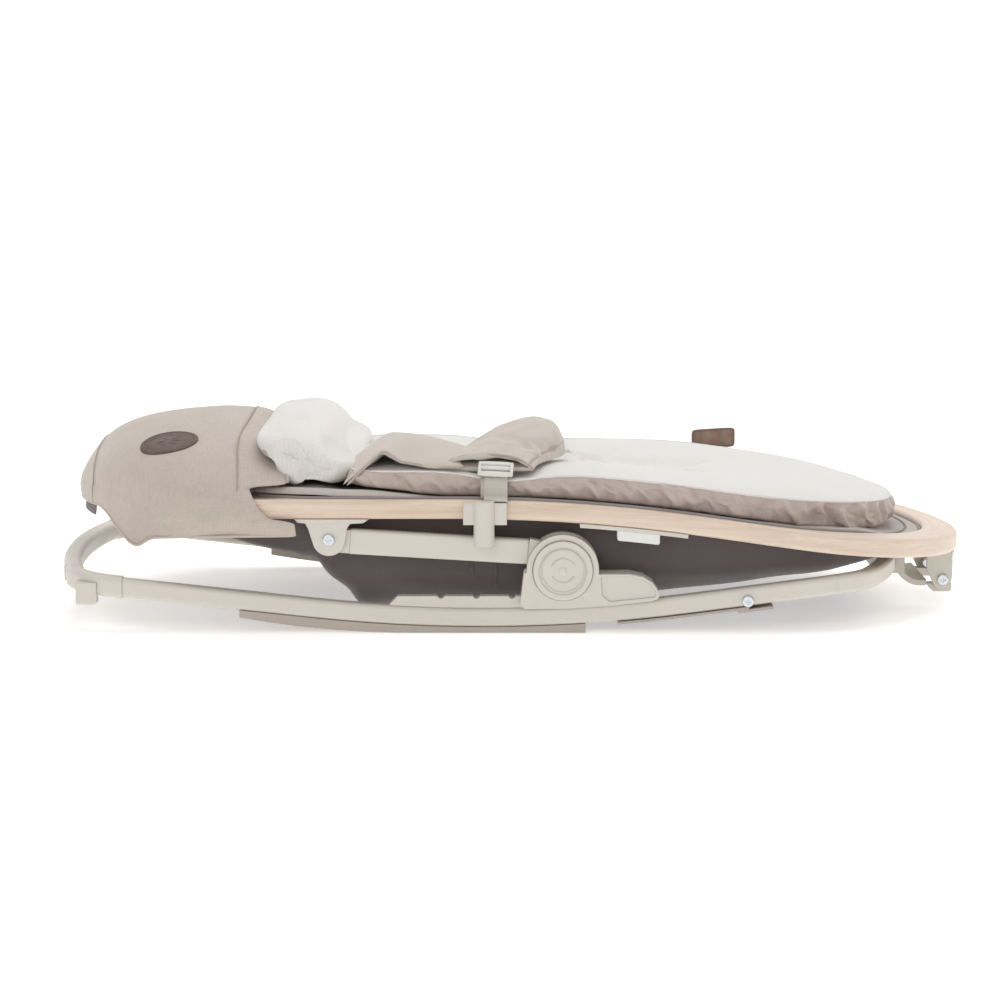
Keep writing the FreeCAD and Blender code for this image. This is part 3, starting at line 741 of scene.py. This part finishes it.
def head_pillow():
    """Plump cream pillow leaning on the hood's opening, with a satin back edge."""
    loop = resampled(eased([(x, 0, z) for x, z in PILLOW_SECTION], 3, True), 84)
    core = Vector((-0.178, 0, 0.149))
    rows = []
    stations = 96
    for i in range(stations + 1):
        s = math.sin(mix(-math.pi / 2, math.pi / 2, i / stations))
        fade = max(1 - abs(s) ** 9.0, 0.0) ** 0.36
        crown = 1 + 0.05 * (1 - s * s)
        push = 1 + 0.09 * (1 - s * s)
        row = []
        for p in loop:
            reach = (p - core) * fade
            if reach.z < 0:
                reach.z *= fade ** -0.5 if fade > 0.05 else 1.0
            reach.z *= crown if reach.z > 0 else 1.0
            reach.x *= push if reach.x < 0 and reach.z > 0 else 1.0
            spot = core + reach
            row.append(Vector((spot.x, PILLOW_HALF * s, spot.z)))
        rows.append(row)
    satin = [p.x < -0.1985 and p.z < 0.1585 for p in loop]
    edge = min(range(len(loop)), key=lambda k: (loop[k] - Vector((-0.2235, 0, 0.1585))).length)
    edge_line = [row[edge].copy() for row in rows[3:-3]]
    pillow = cloth_mesh("head_pillow_soft", [(rows, None)], [JERSEY, SATIN], wrap=True,
                        face_finish=lambda i, j: 1 if satin[j] and 12 <= i < 84 else 0)
    swell(pillow, 2.5, 0.006, None, 0.02, 14)

    def creases(co):
        near = smooth(0.05, 0.16, abs(co.y))
        run = flow(co.x + 1.3 * co.z, co.y, co.z, 42.0, 9.0, 14.0)
        broad = flow(co.x, co.y, co.z, 16.0, 9.0, 16.0)
        return 0.0018 * near * run + 0.0014 * broad

    nudge(pillow, creases)
    refine(pillow)
    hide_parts("head_pillow")
    return edge_line


# ------------------------------------------------------------------ hood
HOOD_EDGE = -0.240
HOOD_SHOULDER = 0.118
HOOD_SIDE = 0.2190
HOOD_REAR = (-0.4005, 0.245, 0.140)
HOOD_PEAK = 0.0625
# Front edge of the hood by height: a tab under the wood, the wood's opening, then the rolled band.
HOOD_FRONT = [(0.0800, -0.1885), (0.0985, -0.1905), (0.1010, -0.2120), (0.1100, -0.2215), (0.1265, -0.2300),
              (0.1280, -0.2305), (0.1300, -0.1970), (0.1380, -0.1995), (0.1500, -0.2120), (0.1650, -0.2205),
              (0.1760, -0.2240)]
HOOD_CENTRE = HOOD_REAR[0] + HOOD_REAR[1]
HOOD_LOOP = plan_loop(HOOD_SIDE, (0.3, 0.245, 0.140), HOOD_REAR, 900)
HOOD_REACH = sorted((math.atan2(p.y, HOOD_CENTRE - p.x), math.hypot(p.y, HOOD_CENTRE - p.x))
                    for p in HOOD_LOOP)


def hood_height(x, y):
    """Dome height at a plan point: pointed across, flat along, falling steeply at the rim."""
    across = min(abs(y) / HOOD_SIDE, 1.0)
    behind = min(max(HOOD_CENTRE - x, 0.0) / HOOD_REAR[1], 1.0)
    rim = between(HOOD_REACH, math.atan2(y, HOOD_CENTRE - x))
    reach = min(math.hypot(y, HOOD_CENTRE - x) / rim, 1.0)
    flat = 1 - 0.05 * smooth(-0.275, -0.225, x)
    shape = (1 - across ** 1.6) ** 0.6 * (1 - behind ** 4.5) ** 0.5 * (1 - reach ** 20) ** 0.5
    return HOOD_SHOULDER + HOOD_PEAK * flat * shape


def seam_bow(y):
    """How far the hood's front seam bows towards the head at y."""
    return 0.006 * math.exp(-((abs(y) - 0.13) / 0.06) ** 2)


def hood_hem(x):
    """Hem height: rising gently along the sides, a low corner at the head end, higher round the back."""
    level = between([(-0.345, 0.0800), (-0.310, 0.0820), (-0.289, 0.0842), (-0.240, 0.0868)], x)
    corner = -0.0085 * math.exp(-((x + 0.334) / 0.011) ** 2)
    return mix(level, 0.1010, smooth(-0.342, -0.374, x)) + corner if x < -0.342 else level + corner


def hood():
    behind = (p for p in HOOD_LOOP if p.x < HOOD_EDGE)
    rim = sorted(behind, key=lambda p: math.atan2(p.y, HOOD_EDGE - p.x))
    corners = [Vector((HOOD_EDGE, side, 0)) for side in (-HOOD_SIDE, HOOD_SIDE)]
    rim = resampled([corners[0]] + rim + [corners[1]], 221, False)
    centre = Vector((HOOD_EDGE, 0, 0))
    rows, cloth = [], []
    for k in range(57):
        share = math.sin(math.pi / 2 * k / 56)
        row = [centre.lerp(p, share) for p in rim]
        rows.append([Vector((p.x, p.y, hood_height(p.x, p.y))) for p in row])
        cloth.append([(p.x, p.y) for p in row])
    for k in range(1, 21):
        drop = k / 20
        out = 1 + 0.008 * math.sin(math.pi * drop) - 0.006 * drop
        row, marks = [], []
        for p in rim:
            z = mix(HOOD_SHOULDER, hood_hem(p.x), drop)
            away = (p - centre).normalized()
            row.append(Vector((HOOD_EDGE + (p.x - HOOD_EDGE) * out, p.y * out, z)))
            marks.append((p.x + away.x * (HOOD_SHOULDER - z), p.y + away.y * (HOOD_SHOULDER - z)))
        rows.append(row)
        cloth.append(marks)
    arch = [row[0] for row in reversed(rows)] + [row[-1] for row in rows[1:]]
    arch_cloth = [row[0] for row in reversed(cloth)] + [row[-1] for row in cloth[1:]]
    front, front_cloth = [], []
    for m in range(11):
        share = m / 10
        row = []
        for p in arch:
            tuck = mix(0.020, 0.062, smooth(0.128, 0.134, p.z)) * share ** 1.5
            sink = 0.005 * share ** 2 * smooth(0.14, 0.17, p.z)
            row.append(Vector((mix(p.x, between(HOOD_FRONT, p.z), share), p.y * (1 - tuck), p.z - sink)))
        front.append(row)
        front_cloth.append([(u + (q.x - HOOD_EDGE), v) for (u, v), q in zip(arch_cloth, row)])
    hem = [p.copy() for p in rows[-1]]
    opening = [p.copy() for p in front[-1]]
    low_hem = [row[0].copy() for row in reversed(front)] + hem + [row[-1].copy() for row in front]
    dome = cloth_mesh("hood_soft", [(rows, cloth), (front, front_cloth)], [HOOD_LINEN])

    def drape(co):
        low = 1 - smooth(0.088, 0.135, co.z)
        broad = flow(co.x, co.y, co.z, 11, 11, 26)
        fold = flow(co.x + 1.6 * co.z, co.y, co.z, 17, 6, 9)
        pucker = 0.5 + 0.5 * flow(co.x, co.y, co.z, 8, 130, 130)
        bow = HOOD_EDGE - seam_bow(co.y)
        seam = -0.0018 * pucker * math.exp(-((co.x - bow) / 0.0016) ** 2) * smooth(0.122, 0.13, co.z)
        back = -0.0011 * math.exp(-((co.x + 0.379) / 0.0015) ** 2)
        sag = 0.0020 * low * smooth(-0.32, -0.29, co.x) * flow(co.x, co.y, co.z, 26, 3, 60)
        return 0.0010 * broad + 0.0018 * low * fold + seam + back + sag

    nudge(dome, drape)
    refine(dome, thick=0.0018)
    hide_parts("hood")
    cord_line("hood_hem", low_hem, 0.0013, HOOD_LINEN)
    cord_line("hood_opening_edge", [p for p in opening if p.z > 0.1305], 0.0014, HOOD_LINEN)
    # Seam cords over the dome: real sewn lines, coloured darker as painted shade of the groove along each
    # seam.
    for name, run in (("front", hood_seam(-0.2395, 0.125)), ("rear", hood_seam(-0.379, 0.088))):
        cord_line("hood_seam_" + name, run, 0.00055, HOOD_SEAM_SHADE)
    rear = [p for p in rim if abs(p.y) < 0.095]
    curtain = []
    for k in range(7):
        inset = 1 - 0.013 * (1 + 0.3 * math.sin(math.pi * k / 6))
        level = mix(0.110, 0.0895, k / 6)
        curtain.append([Vector((HOOD_CENTRE + (p.x - HOOD_CENTRE) * inset, p.y * inset, level))
                        for p in rear])
    liner = cloth_mesh("hood_rear_liner", [(curtain, None)], [LINER_CLOTH])
    refine(liner, thick=0.0015)


def hood_seam(x, low):
    """A seam over the dome at x, down to low on each side, bowed towards the head."""
    run = []
    for k in range(161):
        y = HOOD_SIDE * math.sin(mix(-math.pi / 2, math.pi / 2, k / 160)) * hood_half(x)
        bow = -seam_bow(y) if x > -0.3 else 0.0
        run.append(Vector((x + bow, y, hood_height(x + bow, y) + 0.0002)))
    falls = (low, mix(low, HOOD_SHOULDER, 0.5)) if low < HOOD_SHOULDER else ()
    ends = [Vector((x, run[0].y * 1.002, z)) for z in falls]
    far = [Vector((p.x, -p.y, p.z)) for p in reversed(ends)]
    return [p for p in ends + run + far if p.z >= low]


def hood_half(x):
    """Share of the hood's full half width at x."""
    return max(abs(p.y) for p in HOOD_LOOP if abs(p.x - x) < 0.004) / HOOD_SIDE


def patch_rise(share, angle):
    """Pressed decoration of the round patch: a rim, a ring of dots and a plain star of petals."""
    rim = 0.0007 * math.exp(-((share - 0.93) / 0.04) ** 2)
    dots = 0.0005 * smooth(0.2, 0.7, math.cos(angle * 24)) * math.exp(-((share - 0.74) / 0.05) ** 2)
    petals = 0.0006 * smooth(0.1, 0.6, math.cos(angle * 6)) * smooth(0.12, 0.2, share)
    petals *= 1 - smooth(0.38, 0.46, share)
    return rim + dots + petals


def hood_patch():
    """Round leather patch lying on the dome, with a pressed pattern and a stitched rim."""
    centre = (-0.307, -0.1305)
    radius = 0.0257
    slope = 0.958
    rows = []
    for k in range(30):
        share = k / 27
        edge = min(share, 1.0)
        row = []
        for a in round_angles(144):
            x = centre[0] + radius * edge * math.cos(a)
            y = centre[1] + radius * edge * slope * math.sin(a)
            up = 0.0016 + patch_rise(share, a) if share <= 1.0 else mix(0.0016, -0.0004, (k - 27) / 2)
            row.append(Vector((x, y, hood_height(x, y) + up)))
        rows.append(row)
    disc = cloth_mesh("hood_patch_soft", [(rows, None)], [BROWN], wrap=True)
    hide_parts("hood_patch")
    ring = [Vector((centre[0] + radius * 0.86 * math.cos(a),
                    centre[1] + radius * 0.86 * slope * math.sin(a), 0))
            for a in (math.tau * k / 96 for k in range(97))]
    for p in ring:
        p.z = hood_height(p.x, p.y) + 0.0017
    stitch_line("hood_patch_stitches", ring, BROWN_THREAD, lambda p: Vector((0, 0, 1)), pitch=0.0036)


# ------------------------------------------------------------------ seat cover
COVER_SIDE = 0.2045
COVER_FRONT = (0.377, 0.216, 0.127)
COVER_REAR = (-0.330, 0.214, 0.125)


def cover_drop(x):
    """How far the cover sinks inside the hoop at its foot end."""
    return 0.0055 * smooth(0.30, 0.345, x)


def seat_cover():
    """Cloth stretched over the hoop under the cushion: a rolled rim on the wood, a foot end inside it."""
    loop = plan_loop(COVER_SIDE, COVER_FRONT, COVER_REAR, 420)
    back, ahead = COVER_REAR[0] + COVER_SIDE, COVER_FRONT[0] - COVER_FRONT[1]
    stations = [(0.006, 0.0168), (0.0015, 0.0176), (-0.0006, 0.0200), (0.0, 0.0232), (0.0022, 0.0252),
                (0.006, 0.0250), (0.012, 0.0232), (0.022, 0.0215), (0.045, 0.0205), (0.09, 0.018),
                (0.15, 0.0165), (0.2, 0.016)]
    rows = []
    for inset, up in stations:
        row = []
        for point in loop:
            spot = toward_spine(point, inset, back, ahead)
            low = smooth(-0.14, -0.06, spot.x) * max(up - 0.0172, 0.0) * 0.92
            foot = cover_drop(spot.x)
            head = (1 - smooth(-0.175, -0.145, spot.x)) * min(max(inset, 0.0) / 0.004, 1.0)
            lift = head * (max(0.0235 - up, 0.0) + 0.0012)
            row.append(Vector((spot.x, spot.y, hoop_under(spot.x) + up + lift - low - foot)))
        rows.append(row)
    cover = cloth_mesh("seat_cover_soft", [(rows, None)], [COVER_CLOTH], wrap=True)
    nudge(cover, lambda co: 0.0008 * flow(co.x, co.y, co.z, 30, 30, 30))
    refine(cover)
    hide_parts("seat_cover")
    rim = [Vector((p.x, p.y, hoop_under(p.x) + 0.0176 - cover_drop(p.x))) for p in loop]
    cord_line("seat_cover_piping", rim, 0.0017, TAPE, closed=True)
    inner = [toward_spine(p, 0.0125, back, ahead) for p in loop]
    inner = [Vector((p.x, p.y, hoop_under(p.x) + 0.0124)) for p in inner if p.x > 0.30]
    inner = sorted(inner, key=lambda p: math.atan2(p.y, p.x - 0.25))
    cord_line("seat_cover_foot_line", inner, 0.0011, TAPE)


# ------------------------------------------------------------------ dark sling under the seat
# Height of the pouch's floor along the seat: shallow under the hood, a ledge, the slanting back, the floor.
SLING_FLOOR = [(-0.256, 0.0800), (-0.250, 0.0775), (-0.205, 0.0662), (-0.192, 0.0640), (-0.189, 0.0615),
               (-0.175, 0.0590), (-0.137, 0.0150), (-0.128, 0.0128), (0.030, 0.0122), (0.080, 0.0162),
               (0.131, 0.0225), (0.203, 0.0315), (0.260, 0.0400), (0.308, 0.0520), (0.340, 0.0630)]


def sling():
    stops = resampled([Vector((x, 0, z)) for x, z in SLING_FLOOR], 150, False)
    rounds = 56
    rows = []
    for stop in stops:
        roof = hoop_under(stop.x) + 0.0035
        half = between([(-0.256, 0.176), (-0.19, 0.181), (0.28, 0.181), (0.340, 0.150)], stop.x)
        row = []
        for j in range(rounds + 1):
            a = math.pi * j / rounds
            square = mix(0.10, 0.37, smooth(-0.19, -0.08, stop.x))
            deep = math.sin(a) ** square
            y = -half * signed_power(math.cos(a), square + 0.12)
            row.append(Vector((stop.x, y, mix(roof, min(stop.z, roof - 0.002), deep))))
        rows.append(row)
    pouch = cloth_mesh("under_sling_soft", [(rows, None)], [SLING_CLOTH])

    def slack(co):
        depth = smooth(0.0, 0.03, hoop_under(co.x) - co.z)
        hang = flow(co.x, co.y, co.z, 4.5, 4.0, 52.0)
        pull = flow(co.x + 0.7 * co.z, co.y, co.z, 11.0, 6.0, 46.0)
        return depth * (0.0030 * hang + 0.0020 * pull)

    nudge(pouch, slack)
    refine(pouch, thick=0.0016)
    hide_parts("under_sling", "sling_side_right", "sling_side_left")
    cord_line("sling_rear_hem", rows[0], 0.0016, SLING_CLOTH)
    proud = Vector((-0.0004, 0, -0.0006))
    for name, at in (("upper", 58), ("lower", 63)):
        cord_line("sling_seam_" + name, [p + proud for p in rows[at]], 0.0011, SLING_CLOTH)


# ------------------------------------------------------------------ harness
def pad_form(name, surface, thick, finish, along=60, around=44, squareness=5.0):
    """A closed stuffed form about surface(u, v); thick(u, v) is its thickness, sewn thin at its edges."""
    rows = []
    step = 0.01
    for i in range(along + 1):
        u = 0.5 - 0.5 * math.cos(math.pi * i / along)
        ends = max(1 - abs(2 * u - 1) ** squareness, 0.0) ** 0.5
        row = []
        for a in round_angles(around):
            v = signed_power(math.cos(a), 0.7) * mix(0.9, 1.0, ends)
            du = surface(min(u + step, 1.0), v) - surface(max(u - step, 0.0), v)
            dv = surface(u, min(v + step, 1.0)) - surface(u, max(v - step, -1.0))
            normal = du.cross(dv).normalized()
            swell_by = 0.5 * thick(u, v) * signed_power(math.sin(a), 0.8) * ends
            row.append(surface(u, v) + normal * swell_by)
        rows.append(row)
    return cloth_mesh(name, [(rows, None)], [finish], wrap=True)


# The crotch pad's near and far edges: (share of its length, (x, z)).
ARCH_NEAR = [(0.0, (-0.1475, 0.1270)), (0.28, (-0.1170, 0.1575)), (0.34, (-0.1120, 0.1580)),
             (0.5, (-0.0990, 0.1495)), (0.75, (-0.0750, 0.1455)), (1.0, (-0.0450, 0.1440))]
ARCH_FAR = [(0.0, (-0.1420, 0.1400)), (0.28, (-0.1150, 0.1590)), (0.34, (-0.1100, 0.1615)),
            (0.5, (-0.0940, 0.1600)), (0.75, (-0.0700, 0.1560)), (1.0, (-0.0400, 0.1500))]


def arch_surface(u, v):
    """Mid-surface of the pad arching over the cushion; u runs towards the feet, v towards the left side."""
    place_near, place_far = ([between([(t, xz[k]) for t, xz in edge], u) for k in (0, 1)]
                             for edge in (ARCH_NEAR, ARCH_FAR))
    share = smooth(-1.0, 0.1, v)
    drop = 0.006 * smooth(0.2, 1.0, v)
    y = mix(-0.1965, -0.066, (v + 1) / 2)
    x, z = (mix(near, far, share) for near, far in zip(place_near, place_far))
    return Vector((x, y, z - drop))


def crotch_pad():
    pad = pad_form("crotch_pad_soft", arch_surface, lambda u, v: 0.0085, HARNESS_CLOTH)
    swell(pad, 2.0, 0.003, None, 0.02, 12)
    nudge(pad, lambda co: 0.0014 * flow(co.x - 0.3 * co.y, co.y, co.z, 34.0, 14.0, 30.0))
    refine(pad)
    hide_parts("crotch_pad")
    edge = [arch_surface(k / 60, -1.0) for k in range(1, 60)]
    # Edge piping: a real cord whose darker colour is painted shade along the pad's seam.
    cord_line("crotch_pad_piping", edge, 0.0011, HARNESS_SEAM_SHADE)


HIP_STATIONS = {
    "x": [(0.0, -0.0245), (0.35, -0.0130), (0.7, 0.0080), (1.0, 0.0170)],
    "half": [(0.0, 0.0380), (0.4, 0.0395), (0.75, 0.0360), (1.0, 0.0270)],
    "top": [(0.0, 0.1550), (0.3, 0.1640), (0.6, 0.1730), (0.8, 0.1760), (1.0, 0.1700)],
    "base": [(0.0, 0.1405), (0.12, 0.1440), (0.6, 0.1445), (1.0, 0.1480)],
}
HIP_MOUTH = -0.1885
HIP_BACK = -0.064


def hip_ring(s, rounds=64, inner=0.0):
    """One ring of the folded pad at s from its mouth to its back."""
    closing = smooth(-0.35, 1.0, max(s, 0.0))
    at = {key: between(pairs, s) for key, pairs in HIP_STATIONS.items()}
    y = mix(HIP_MOUTH, HIP_BACK, s)
    ring = []
    for a in round_angles(rounds):
        c, d = math.cos(a), math.sin(a)
        wide = at["half"] - inner * 1.2 + (0.003 * (1 - closing) if d < 0.2 else 0.0)
        x = at["x"] + wide * signed_power(c, 0.85)
        top = at["top"] - inner
        low = at["base"] + inner * 0.7
        sole = 0.0012 * abs(d) ** 0.5 * (1 if not inner else -1)
        z = mix(low, top, abs(d) ** 0.95) if d > 0 else low - sole
        slope = 0.006 * (c + 0.2) * d if d > 0 else 0.0
        ring.append(Vector((x, y, z + slope * s)))
    return ring


def hip_pad_right():
    """Pad folded over the webbing: its mouth opens at the seat's edge, its inner end is plump."""
    rows = []
    deep = hip_ring(0.22, inner=0.0055)
    middle = sum(deep, Vector()) / len(deep)
    rows.append([middle + Vector((0, 0.004, 0))] * len(deep))
    rows.append([middle.lerp(p, 0.6) for p in deep])
    for s in (0.2, 0.12, 0.05, 0.015):
        rows.append(hip_ring(s, inner=0.0040))
    rows.append(hip_ring(0.0, inner=0.0038))
    rows.append([p + Vector((0, -0.0016, 0)) for p in hip_ring(0.0, inner=0.0028)])
    rows.append([p + Vector((0, -0.0016, 0)) for p in hip_ring(0.0, inner=0.0012)])
    outer_from = len(rows)
    for k in range(45):
        rows.append(hip_ring(k / 44))
    last = rows[-1]
    centre = sum(last, Vector()) / len(last)
    for share, back in ((0.93, 0.0030), (0.78, 0.0058), (0.5, 0.0080), (0.2, 0.0090), (0.0, 0.0092)):
        rows.append([centre.lerp(p, share) + Vector((0, back, 0)) for p in last])
    lip = [p.copy() for p in rows[outer_from]][:34]
    side = [rows[outer_from + k][3].copy() for k in range(45)]
    pad = cloth_mesh("hip_pad_right_soft", [(rows, None)], [HARNESS_CLOTH], wrap=True)

    def held(co):
        return smooth(HIP_MOUTH + 0.004, HIP_MOUTH + 0.03, co.y) * smooth(0.1445, 0.149, co.z)

    swell(pad, 2.5, 0.003, pin_group(pad, "plump", held), 0.02, 12)

    def creases(co):
        run = flow(co.x - 0.75 * co.y, co.y, co.z, 62.0, 10.0, 42.0)
        fine = flow(co.x - 0.75 * co.y, co.y, co.z, 140.0, 24.0, 60.0)
        return smooth(0.146, 0.153, co.z) * (0.0032 * run + 0.0010 * fine)

    nudge(pad, creases)
    refine(pad)
    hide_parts("hip_pad_right")
    # Lip and side seam cords: real piping, coloured darker as painted shade along the seams.
    cord_line("hip_pad_lip", lip, 0.0010, HARNESS_SEAM_SHADE)
    cord_line("hip_pad_side_seam", side, 0.0010, HARNESS_SEAM_SHADE)
    end = [mix(p, q, 0.5) for p, q in zip(hip_ring(0.02)[26:40], hip_ring(0.03)[26:40])]
    cord_line("hip_pad_end_seam", end, 0.0011, PIPING)


def hip_pad_left():
    """Far pad, lying flat."""
    def surface(u, v):
        x = mix(-0.006, 0.040, (v + 1) / 2)
        y = mix(0.074, 0.157, u)
        return Vector((x, y, mix(0.1445, 0.1405, u) + 0.0010 * math.sin(3 * u) - 0.001 * v * v))

    pad = pad_form("hip_pad_left_soft", surface, lambda u, v: 0.0080, HARNESS_CLOTH, squareness=7.0)
    swell(pad, 2.0, 0.002, None, 0.02, 12)
    nudge(pad, lambda co: 0.0010 * flow(co.x, co.y, co.z, 40.0, 30.0, 30.0) * smooth(0.1405, 0.145, co.z))
    refine(pad)
    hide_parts("hip_pad_left")


def strap(name, path, across, width, finish, thick=0.0015):
    """Flat webbing along a path, its width along across, with rolled edges."""
    line = resampled(eased(path, 3), 60, False)
    rows = []
    for i, p in enumerate(line):
        way = (line[min(i + 1, len(line) - 1)] - line[max(i - 1, 0)]).normalized()
        up = across.cross(way).normalized()
        row = []
        for a in round_angles(20):
            side = signed_power(math.cos(a), 0.35)
            rise = signed_power(math.sin(a), 0.7)
            row.append(p + across * (width / 2 * side) + up * (thick / 2 * rise))
        rows.append(row)
    ends = [[sum(row, Vector()) / len(row)] * len(row) for row in (rows[0], rows[-1])]
    piece = cloth_mesh(name, [([ends[0]] + rows + [ends[1]], None)], [finish], wrap=True)
    return piece


# Each belt's path in (distance from the middle, height), from its pad over the cushion's edge to its clip.
BELT_END = [(0.2088, 0.1270), (0.2088, 0.1200), (0.2160, 0.1190), (0.2160, 0.1168)]
BELT_X = -0.01625
BELTS = {"right": [(0.1700, 0.1478), (0.1860, 0.1475), (0.1925, 0.1405), (0.2010, 0.1375),
                   (0.2070, 0.1345)] + BELT_END,
         "left": [(0.1590, 0.1385), (0.1750, 0.1340), (0.1900, 0.1290), (0.2010, 0.1270),
                  (0.2070, 0.1262)] + BELT_END}


def harness_webbing():
    along = Vector((1, 0, 0))
    for sign, side in ((-1, "right"), (1, "left")):
        path = BELTS[side]
        belt = strap("webbing_" + side + "_soft", [(BELT_X, sign * y, z) for y, z in path],
                     along, 0.0205, WEB_CLOTH)
        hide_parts("webbing_" + side)
        strap("webbing_back_" + side, [(-0.0180, sign * (y - 0.0020), z - 0.0012) for y, z in path[3:7]],
              along, 0.0225, WEB_CLOTH, 0.0013)
        slider(side, sign)
    run = [(0.0235, 0, 0.1460), (0.030, 0, 0.1466), (0.037, 0, 0.1455), (0.041, 0, 0.1435)]
    lead = strap("crotch_strap_soft", run, Vector((0, 1, 0)), 0.020, WEB_CLOTH)
    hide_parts("crotch_strap")


def slider_rod(at, way, long, wide, tall):
    """One rod of the slider about the point at; way is 0 along X and 1 along Y."""
    rows = []
    for k in range(13):
        share = k / 12 * 2 - 1
        size = max(1 - abs(share) ** 8, 0.0) ** 0.5
        row = []
        for a in round_angles(16):
            offset = [0.0, 0.0, tall * size * signed_power(math.sin(a), 0.6)]
            offset[way] = long * share
            offset[1 - way] = wide * size * math.cos(a)
            row.append(Vector([p + q for p, q in zip(at, offset)]))
        rows.append(row)
    return rows, None


def slider(side, sign):
    """Plastic strap slider tipped over the cushion's edge: a rounded frame with a middle bar."""
    centre = Vector((BELT_X, sign * 0.1995, 0.1432 if sign < 0 else 0.1298))
    tip = math.radians(38 if sign < 0 else -6)
    parts = [slider_rod(at, 0, long, wide, 0.0020)
             for at, long, wide in (((0, -0.0060, 0), 0.0150, 0.0026), ((0, 0.0060, 0), 0.0150, 0.0026),
                                    ((0, 0.0, 0.0008), 0.0140, 0.0021))]
    parts += [slider_rod((x, 0, 0), 1, 0.0086, 0.0016, 0.0022) for x in (-0.0138, 0.0138)]
    turn = Matrix.Rotation(tip, 3, "X")
    for rows, _ in parts:
        for row in rows:
            for p in row:
                p.rotate(Matrix.Rotation(math.radians(-4), 3, "Z"))
                p.rotate(turn)
                p += centre
    made = cloth_mesh("web_slider_" + side + "_soft", parts, [IVORY], wrap=True)
    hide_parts("web_slider_" + side)


# ------------------------------------------------------------------ small details
def side_tag():
    """Folded leather loop standing on the cushion's left edge, with a plain stitched border."""
    low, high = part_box("side_tag")
    middle = Vector(((low.x + high.x) / 2, 0.2050, (low.z + high.z) / 2))
    rows = []
    for k in range(9):
        s = k / 8 * 2 - 1
        half = 0.0009 * max(1 - abs(s) ** 6, 0.0) ** 0.5 + 0.0002
        row = []
        for a in round_angles(48):
            c, d = math.cos(a), math.sin(a)
            x = 0.0215 * signed_power(c, 0.25) * (1 - 0.02 * abs(s))
            z = 0.0098 * signed_power(d, 0.25) * (1 - 0.03 * abs(s))
            y = half * (1 if s > 0 else -1) * abs(s) ** 0.2
            row.append(Vector((middle.x + x, middle.y + y, middle.z + z + 0.06 * x)))
        rows.append(row)
    for end in (0, -1):
        ring = rows[end]
        centre = sum(ring, Vector()) / len(ring)
        inner = [[centre.lerp(p, f) for p in ring] for f in (0.9, 0.5, 0.0)]
        rows = inner[::-1] + rows if end == 0 else rows + inner
    tag = cloth_mesh("side_tag_soft", [(rows, None)], [TAN], wrap=True)
    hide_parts("side_tag")
    border = [Vector((middle.x + 0.0190 * sx, middle.y - 0.0011, middle.z + 0.0078 * sz + 0.06 * 0.0190 * sx))
              for sx, sz in ((-1, -1), (1, -1), (1, 1), (-1, 1), (-1, -1))]
    stitch_line("side_tag_stitches", border, BROWN_THREAD, lambda p: Vector((0, -1, 0)),
                pitch=0.003, radius=0.00045)


def hub_marks():
    """Raised generic marks on the release buttons: a rim, two arcs and a dot."""
    for sign, side in ((-1, "right"), (1, "left")):
        low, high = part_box("release_button_" + side)
        face = low.y if sign < 0 else high.y
        centre = Vector(((low.x + high.x) / 2, face + sign * 0.0001, (low.z + high.z) / 2))

        def arc_points(radius, start, end, steps):
            return [centre + Vector((radius * math.cos(a), 0, radius * math.sin(a)))
                    for a in (math.radians(mix(start, end, k / steps)) for k in range(steps + 1))]

        body = "button_" + side
        rim = arc_points(0.0185, 0, 360, 96)[:-1]
        cord_line("hub_rim_" + side, rim, 0.0006, PLASTIC, closed=True, body=body)
        cord_line("hub_arc_upper_" + side, arc_points(0.0105, 25, 155, 32), 0.0008, PLASTIC, body=body)
        cord_line("hub_arc_lower_" + side, arc_points(0.0105, 205, 335, 32), 0.0008, PLASTIC, body=body)
        dome = []
        for k in range(7):
            rise = k / 6
            dome.append([centre + Vector((0.0036 * rise * math.cos(a), sign * 0.0009 * (1 - rise ** 2),
                                          0.0036 * rise * math.sin(a)))
                         for a in round_angles(24)])
        cloth_mesh("hub_dot_" + side, [(dome, None)], [PLASTIC], wrap=True, body=body)


finish_frame()
seat_cushion()
pillow_edge = head_pillow()
cord_line("pillow_piping", pillow_edge, 0.0011, PIPING)
hood()
hood_patch()
seat_cover()
sling()
crotch_pad()
hip_pad_right()
hip_pad_left()
harness_webbing()
side_tag()
hub_marks()
studio()
camera()
